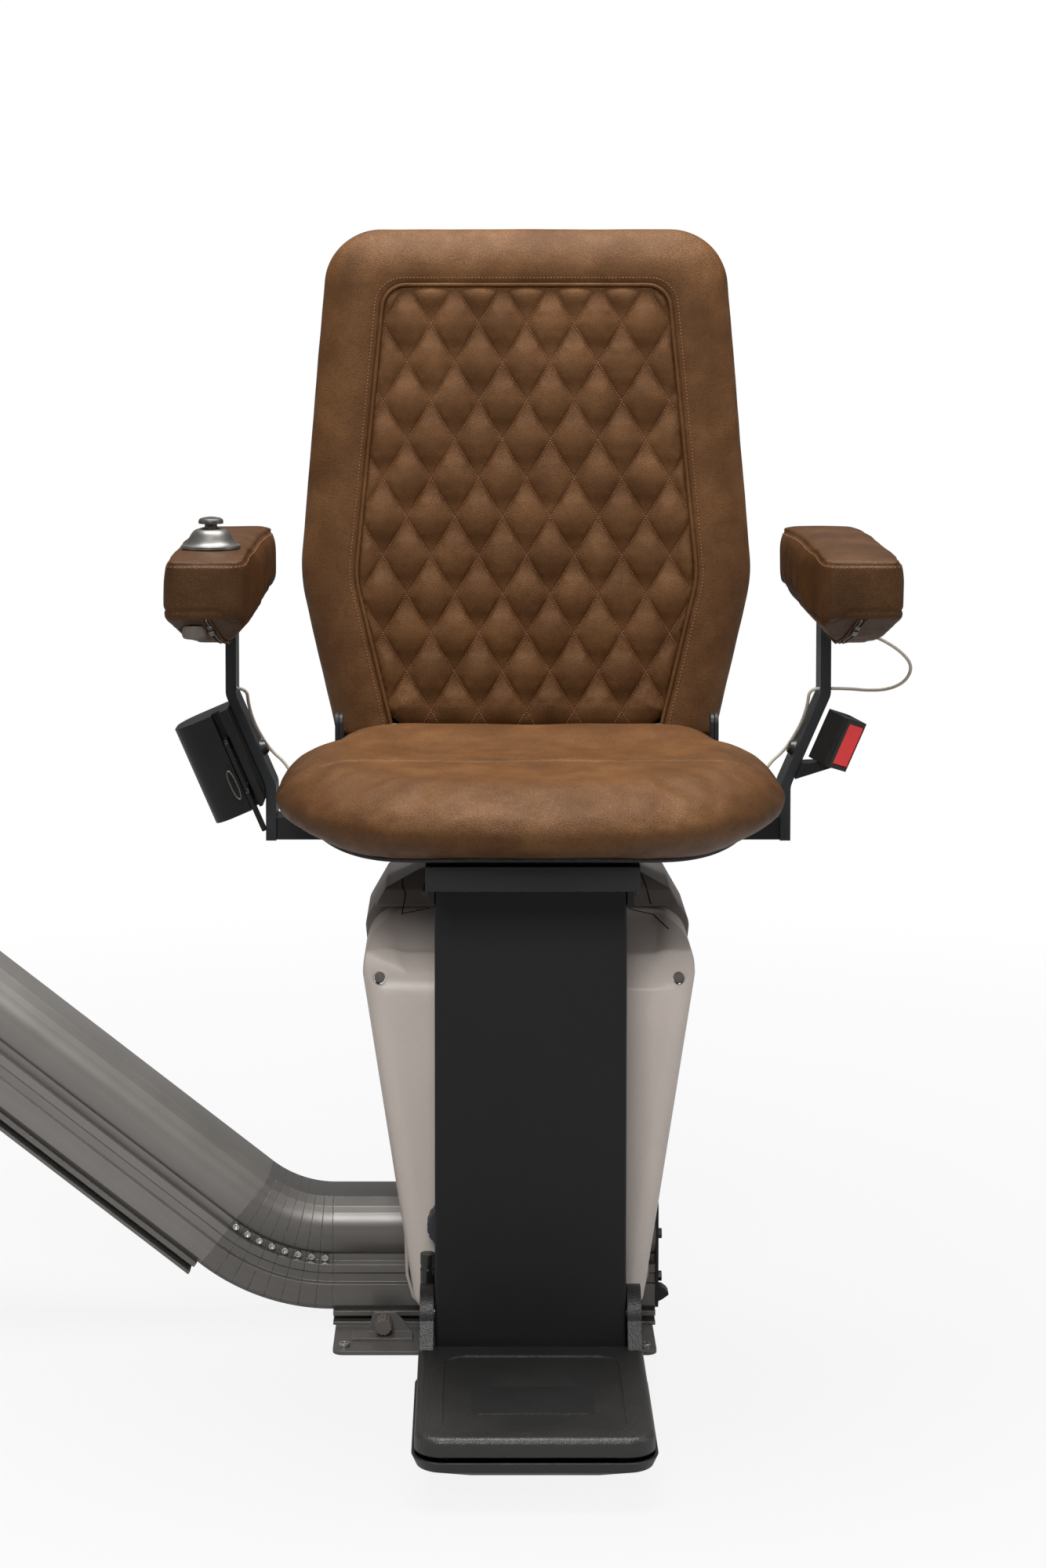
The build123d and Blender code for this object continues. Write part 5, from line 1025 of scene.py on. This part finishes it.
quilt_surface = tree_of(quilt)
seam_rows = []
for family in (1, -1):
    for index in range(-9, 10):
        ups = np.arange(2.0, 497.0, 1.1)
        acrosses = (index + family * (ups - quilt_middle) / diamond_high) * diamond_wide
        inner = panel_reach(np.stack([acrosses, ups], 1))[0] > 3.0
        row = []
        for across, up, stitched in zip(acrosses, ups, inner):
            spot = struck(quilt_surface, across, up) if stitched else None
            if spot:
                row.append((spot, -inward))
        seam_rows.append(row)
sewn = stitches(seam_rows, pitch=0.0027, long=0.0019, thick=0.0011, lift=0.0004)
piece("back_quilt_stitches", sewn, "seat", thread_finish)

# the row beside the piping leaves out the back's foot; a far place breaks it there
border_surface = tree_of(back_border)
beside, far_place = [], Vector((0, 0, 9))
for p in back_loop(panel_line - 7.0, foot=-1.0):
    spot = struck(border_surface, p.x, p.y) if p.y > 4 else None
    if spot:
        beside.append((spot, -inward))
    elif beside:
        beside.append((far_place, -inward))
sewn = stitches([beside], pitch=0.0034, long=0.0024, thick=0.0011, lift=0.0004)
piece("back_border_stitches", sewn, "seat", thread_finish)

piped_line = back_loop(panel_line - 0.2, foot=1.0)
welt("back_piping", [on_back(p.x, p.y, 1.0) for p in piped_line], 0.0021, "seat", brown_leather,
     closed=True)

# ---- Arm pads ----
# Boxy foam pads in the same leather: a top panel, side band and tapered underside, joined by
# welted seams. A zip along the keel lets the cover off the core. Their leather is the seat's
# brown at about 0.55 of its brightness, as painted shade.
pad_x, pad_y = 0.285, -0.210            # middle of a pad, to either side
pad_top, pad_crown, pad_nose = 0.8035, 0.005, 0.750


def pad_ridge(y):
    """Height of a pad's top edge at depth y."""
    ahead = (y - pad_y) / (-0.16 if y < pad_y else 0.158)
    return pad_top - pad_crown * ahead * ahead


def pad_hem(x):
    """Height of the seam under the side band: level outside, lower towards the inside."""
    lowered = 0.5 - 0.5 * cos(pi * rise(pad_x - abs(x), 0.010, 0.016))
    return pad_nose + 0.0035 - 0.010 * lowered


def pad_wear(place, normal):
    """Seam furrows with a welt above each, finger dents and slow folds down the band."""
    flank = 1 - abs(normal.z)
    ridge = pad_ridge(place.y) - 0.0045 - place.z
    hem = pad_hem(place.x) - place.z
    rim = sqrt(max(0.0, 1 - (abs(normal.z) - 0.55) ** 2 * 3.2)) if abs(normal.z) < 1 else 0
    furrow = -0.0012 * np.exp(-(ridge / 0.0013) ** 2)
    welt_top = 0.0007 * np.exp(-((ridge + 0.0028) / 0.0016) ** 2)
    under = -0.0013 * np.exp(-(hem / 0.0015) ** 2)
    fold = 0.0003 * flank * ripple(place.y * 1.5 + place.x, place.z * 0.7, 0.022)
    slow = 0.0005 * ripple(place.x + place.y, place.z + place.y * 0.3, 0.03)
    pucker = -0.0002 * (0.5 + 0.5 * sin(place.y * 420 + place.x * 500)) * flank * np.exp(
        -((ridge - 0.004) / 0.004) ** 2)
    near = 1.0 if place.z > 0.735 else 0.35
    return normal * float((furrow + welt_top) * rim + under * min(1.0, flank + 0.4)
                          + (fold + slow + pucker) * near)


def glued(place):
    """1 on a pad's underside and round its core's slot, where the cover is held; 0 elsewhere."""
    in_slot = abs(abs(place.x) - pad_x) < 0.017 and place.y > -0.153 and place.z < 0.776
    return 1.0 if place.z < 0.7195 or in_slot else 0.0


def seam_round(surface, side, below, steps=260):
    """Places and normals all round a pad's side, at a height below its top edge."""
    row = []
    for k in range(steps + 1):
        turn = 2 * pi * k / steps
        aim = Vector((side * pad_x, pad_y - 0.115 * cos(turn)))
        start = Vector((side * pad_x + 0.09 * sin(turn), pad_y - 0.24 * cos(turn)))
        way = Vector((*(aim - start).normalized(), 0))
        z = pad_ridge(max(-0.37, min(-0.052, start.y))) - below
        for _ in range(2):
            spot, normal, _, _ = surface.ray_cast(Vector((*start, z)), way, 0.3)
            if spot is None:
                break
            z = pad_ridge(spot.y) - below
        if spot is not None:
            row.append((spot, normal if normal.dot(way) < 0 else -normal))
    return row


def slider_block(size, middle, rounding, segments):
    """A rounded block of the zip's slider, lying along its own axes."""
    block = bmesh.new()
    bmesh.ops.create_cube(block, size=1.0)
    for v in block.verts:
        v.co = [c * long + m for c, long, m in zip(v.co, size, middle)]
    bmesh.ops.bevel(block, geom=block.edges[:], offset=rounding, affect="EDGES", segments=segments,
                    profile=0.5, material=-1)
    return block


keel_front, keel_step = -0.366, 0.0045
zip_metal = turned_metal("zip_nickel", (0.15, 0.140, 0.128), (0.42, 0.40, 0.38), 0.95, 0.34)
for side, arm in ((-1, "left"), (1, "right")):
    node = "arm_pad_" + arm
    cover = skinned("pad_cover_" + arm, node, 0.0032, pad_leather_painted_shade)
    pad_out(cover, glued, pressure=2.0, cap=0.002, slack=0.012, frames=14)
    finer(cover)
    sculpt(cover, pad_wear, smooth=9)
    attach(cover, "arm_" + arm)
    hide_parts(node)
    surface = tree_of(cover)
    top_row = seam_round(surface, side, below=0.0068)
    sewn = stitches([top_row], pitch=0.0042, long=0.0025, thick=0.0007)
    piece("pad_stitches_" + arm, sewn, "arm_" + arm, thread_finish)

    # zip along the keel: two lips of leather, a row of teeth between them and its slider
    keel = []
    for k in range(41):
        y = keel_front + k * keel_step
        x = side * (0.2845 - 0.010 * min(1.0, k / 10))
        spot, normal, _, _ = surface.ray_cast(Vector((x, y, 0.60)), Vector((0, 0, 1)), 0.3)
        if spot is not None and abs(normal.z) >= 0.25:
            keel.append((spot, normal if normal.z < 0 else -normal))
    for offset, lip in ((-0.0034, "a"), (0.0034, "b")):
        welt(f"zip_lip_{arm}_{lip}",
             [spot + Vector((offset, 0, 0)) + out * 0.0002 for spot, out in keel], 0.0014,
             "arm_" + arm, pad_leather_painted_shade)
    teeth = stitches([keel], pitch=0.0016, long=0.0011, thick=0.0030, lift=0.0001)
    piece("zip_teeth_" + arm, teeth, "arm_" + arm, zip_metal)
    spot, out = keel[3]
    pull = slider_block((0.0050, 0.0080, 0.0026), (0, 0, 0), rounding=0.0009, segments=3)
    tag = slider_block((0.0050, 0.0080, 0.0012), (0, 0.0070, 0.0022), rounding=0.0004, segments=2)
    plate = bpy.data.meshes.new("tag")
    tag.to_mesh(plate)
    tag.free()
    pull.from_mesh(plate)
    bpy.data.meshes.remove(plate)
    along = (keel[4][0] - keel[2][0]).normalized()
    across = along.cross(out)
    bmesh.ops.transform(pull, verts=pull.verts, matrix=Matrix.Translation(spot + out * 0.0012)
                        @ Matrix((across, along, out)).transposed().to_4x4())
    bmesh.ops.recalc_face_normals(pull, faces=pull.faces)
    piece("zip_pull_" + arm, pull, "arm_" + arm, zip_metal)

# ---- Joystick, its turret and the button under the left pad ----
# A satin silver bell of zinc alloy with a dark mushroom button. The round button under the pad
# is warm grey plastic, its colour made darker as painted shade from the pad above it.
dress(turned_metal("turret_satin", (0.17, 0.162, 0.152), (0.36, 0.35, 0.33), 0.85, 0.38,
                   scale=1400.0), "joystick_turret")
dress(moulded("mushroom_button", (0.045, 0.040, 0.037), 0.36, grain=1600, relief=0.15,
              worn=(0.20, 0.19, 0.18)), "joystick_button")
# the pad button's grey is darkened as painted shade from the pad overhead
dress(moulded("pad_button_grey_painted_shade", (0.115, 0.098, 0.086), 0.42, grain=1600, relief=0.12),
      "pad_button")

# ---- Seat belt: reel on the left bar, tongue, buckle on the right bar ----
# Black glass-filled nylon with a fine spark texture. The press window of the buckle is glossy
# red, and a small steel link hangs on the tongue.
dress(moulded("belt_nylon", (0.0070, 0.0065, 0.0062), 0.34, grain=1000, relief=0.30, wear=0.4,
              patch=12, shine=0.3, worn=(0.09, 0.088, 0.085)),
      "belt_reel", "buckle_body", "buckle_stalk", "belt_tongue")
link_middle = Vector((-279.0, -139.6, 561.0))           # mm, as the rest of the link
link_half_long, link_half_wide, link_straight, link_lean = 12.0, 3.0, 2.5, radians(24)
link = []
for k in range(48):
    turn = 2 * pi * k / 48
    along = link_half_long * sin(turn) + link_straight * (1 if sin(turn) > 0 else -1)
    out = link_half_wide * cos(turn)
    link.append((link_middle + Vector((out * cos(link_lean) - along * sin(link_lean), 0,
                                       along * cos(link_lean) + out * sin(link_lean)))) / 1000)
welt("tongue_link", link, 0.0009, "seat", zip_metal, closed=True)
dress(moulded("press_red", (0.92, 0.018, 0.020), 0.18, grain=1500, relief=0.04, patch=30,
              wear=0.1, worn=(0.75, 0.10, 0.10), swing=0.06), "buckle_button")

# ---- Leads ----
# Thin round beige control cable, soft PVC. One loose loop leaves the right pad and enters the bar;
# two more run down inside the bars to the seat frame.
cable_radius = 0.0016
cable_skin = moulded("cable_beige", (0.56, 0.50, 0.42), 0.42, grain=2200, relief=0.08, patch=30,
                     wear=0.0)


def laid_cable(name, points, body):
    """Cable as a smooth NURBS line along its route in mm, with round section and closed ends."""
    line = bpy.data.curves.new(name, "CURVE")
    line.dimensions, line.bevel_depth, line.bevel_resolution = "3D", cable_radius, 3
    line.use_fill_caps, line.resolution_u = True, 12
    spline = line.splines.new("NURBS")
    spline.points.add(len(points) - 1)
    for point, spot in zip(spline.points, points):
        point.co = (*[c / 1000 for c in spot], 1)
    spline.order_u = 3
    spline.use_endpoint_u = True
    line.materials.append(cable_skin)
    thing = bpy.data.objects.new(name, line)
    bpy.context.scene.collection.objects.link(thing)
    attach(thing, body)
    return thing


pad_lead = laid_cable("pad_lead", [
    (290.0, -180.0, 713.9), (310.5, -177.0, 710.8), (330.0, -171.5, 703.3), (349.2, -160.0, 690.2),
    (361.0, -146.0, 675.4), (357.5, -132.0, 659.5), (343.8, -118.0, 649.4), (326.5, -104.0, 646.0),
    (306.4, -94.0, 646.5), (290.0, -94.0, 646.5)], "seat")
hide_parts("pad_cable")
for side, arm in ((-1, "left"), (1, "right")):
    lead = laid_cable("bar_lead_" + arm, [
        (side * x, y, z) for x, y, z in (
            (280.0, -94.0, 646.5), (270.0, -94.0, 646.5), (269.0, -88.0, 630.0),
            (265.0, -77.0, 612.0), (257.2, -66.0, 594.0), (248.0, -62.0, 580.0),
            (236.0, -62.0, 570.0), (227.0, -64.0, 555.0), (224.0, -72.0, 538.0),
            (224.0, -72.0, 522.3))], "seat")
    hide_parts("bar_leads")
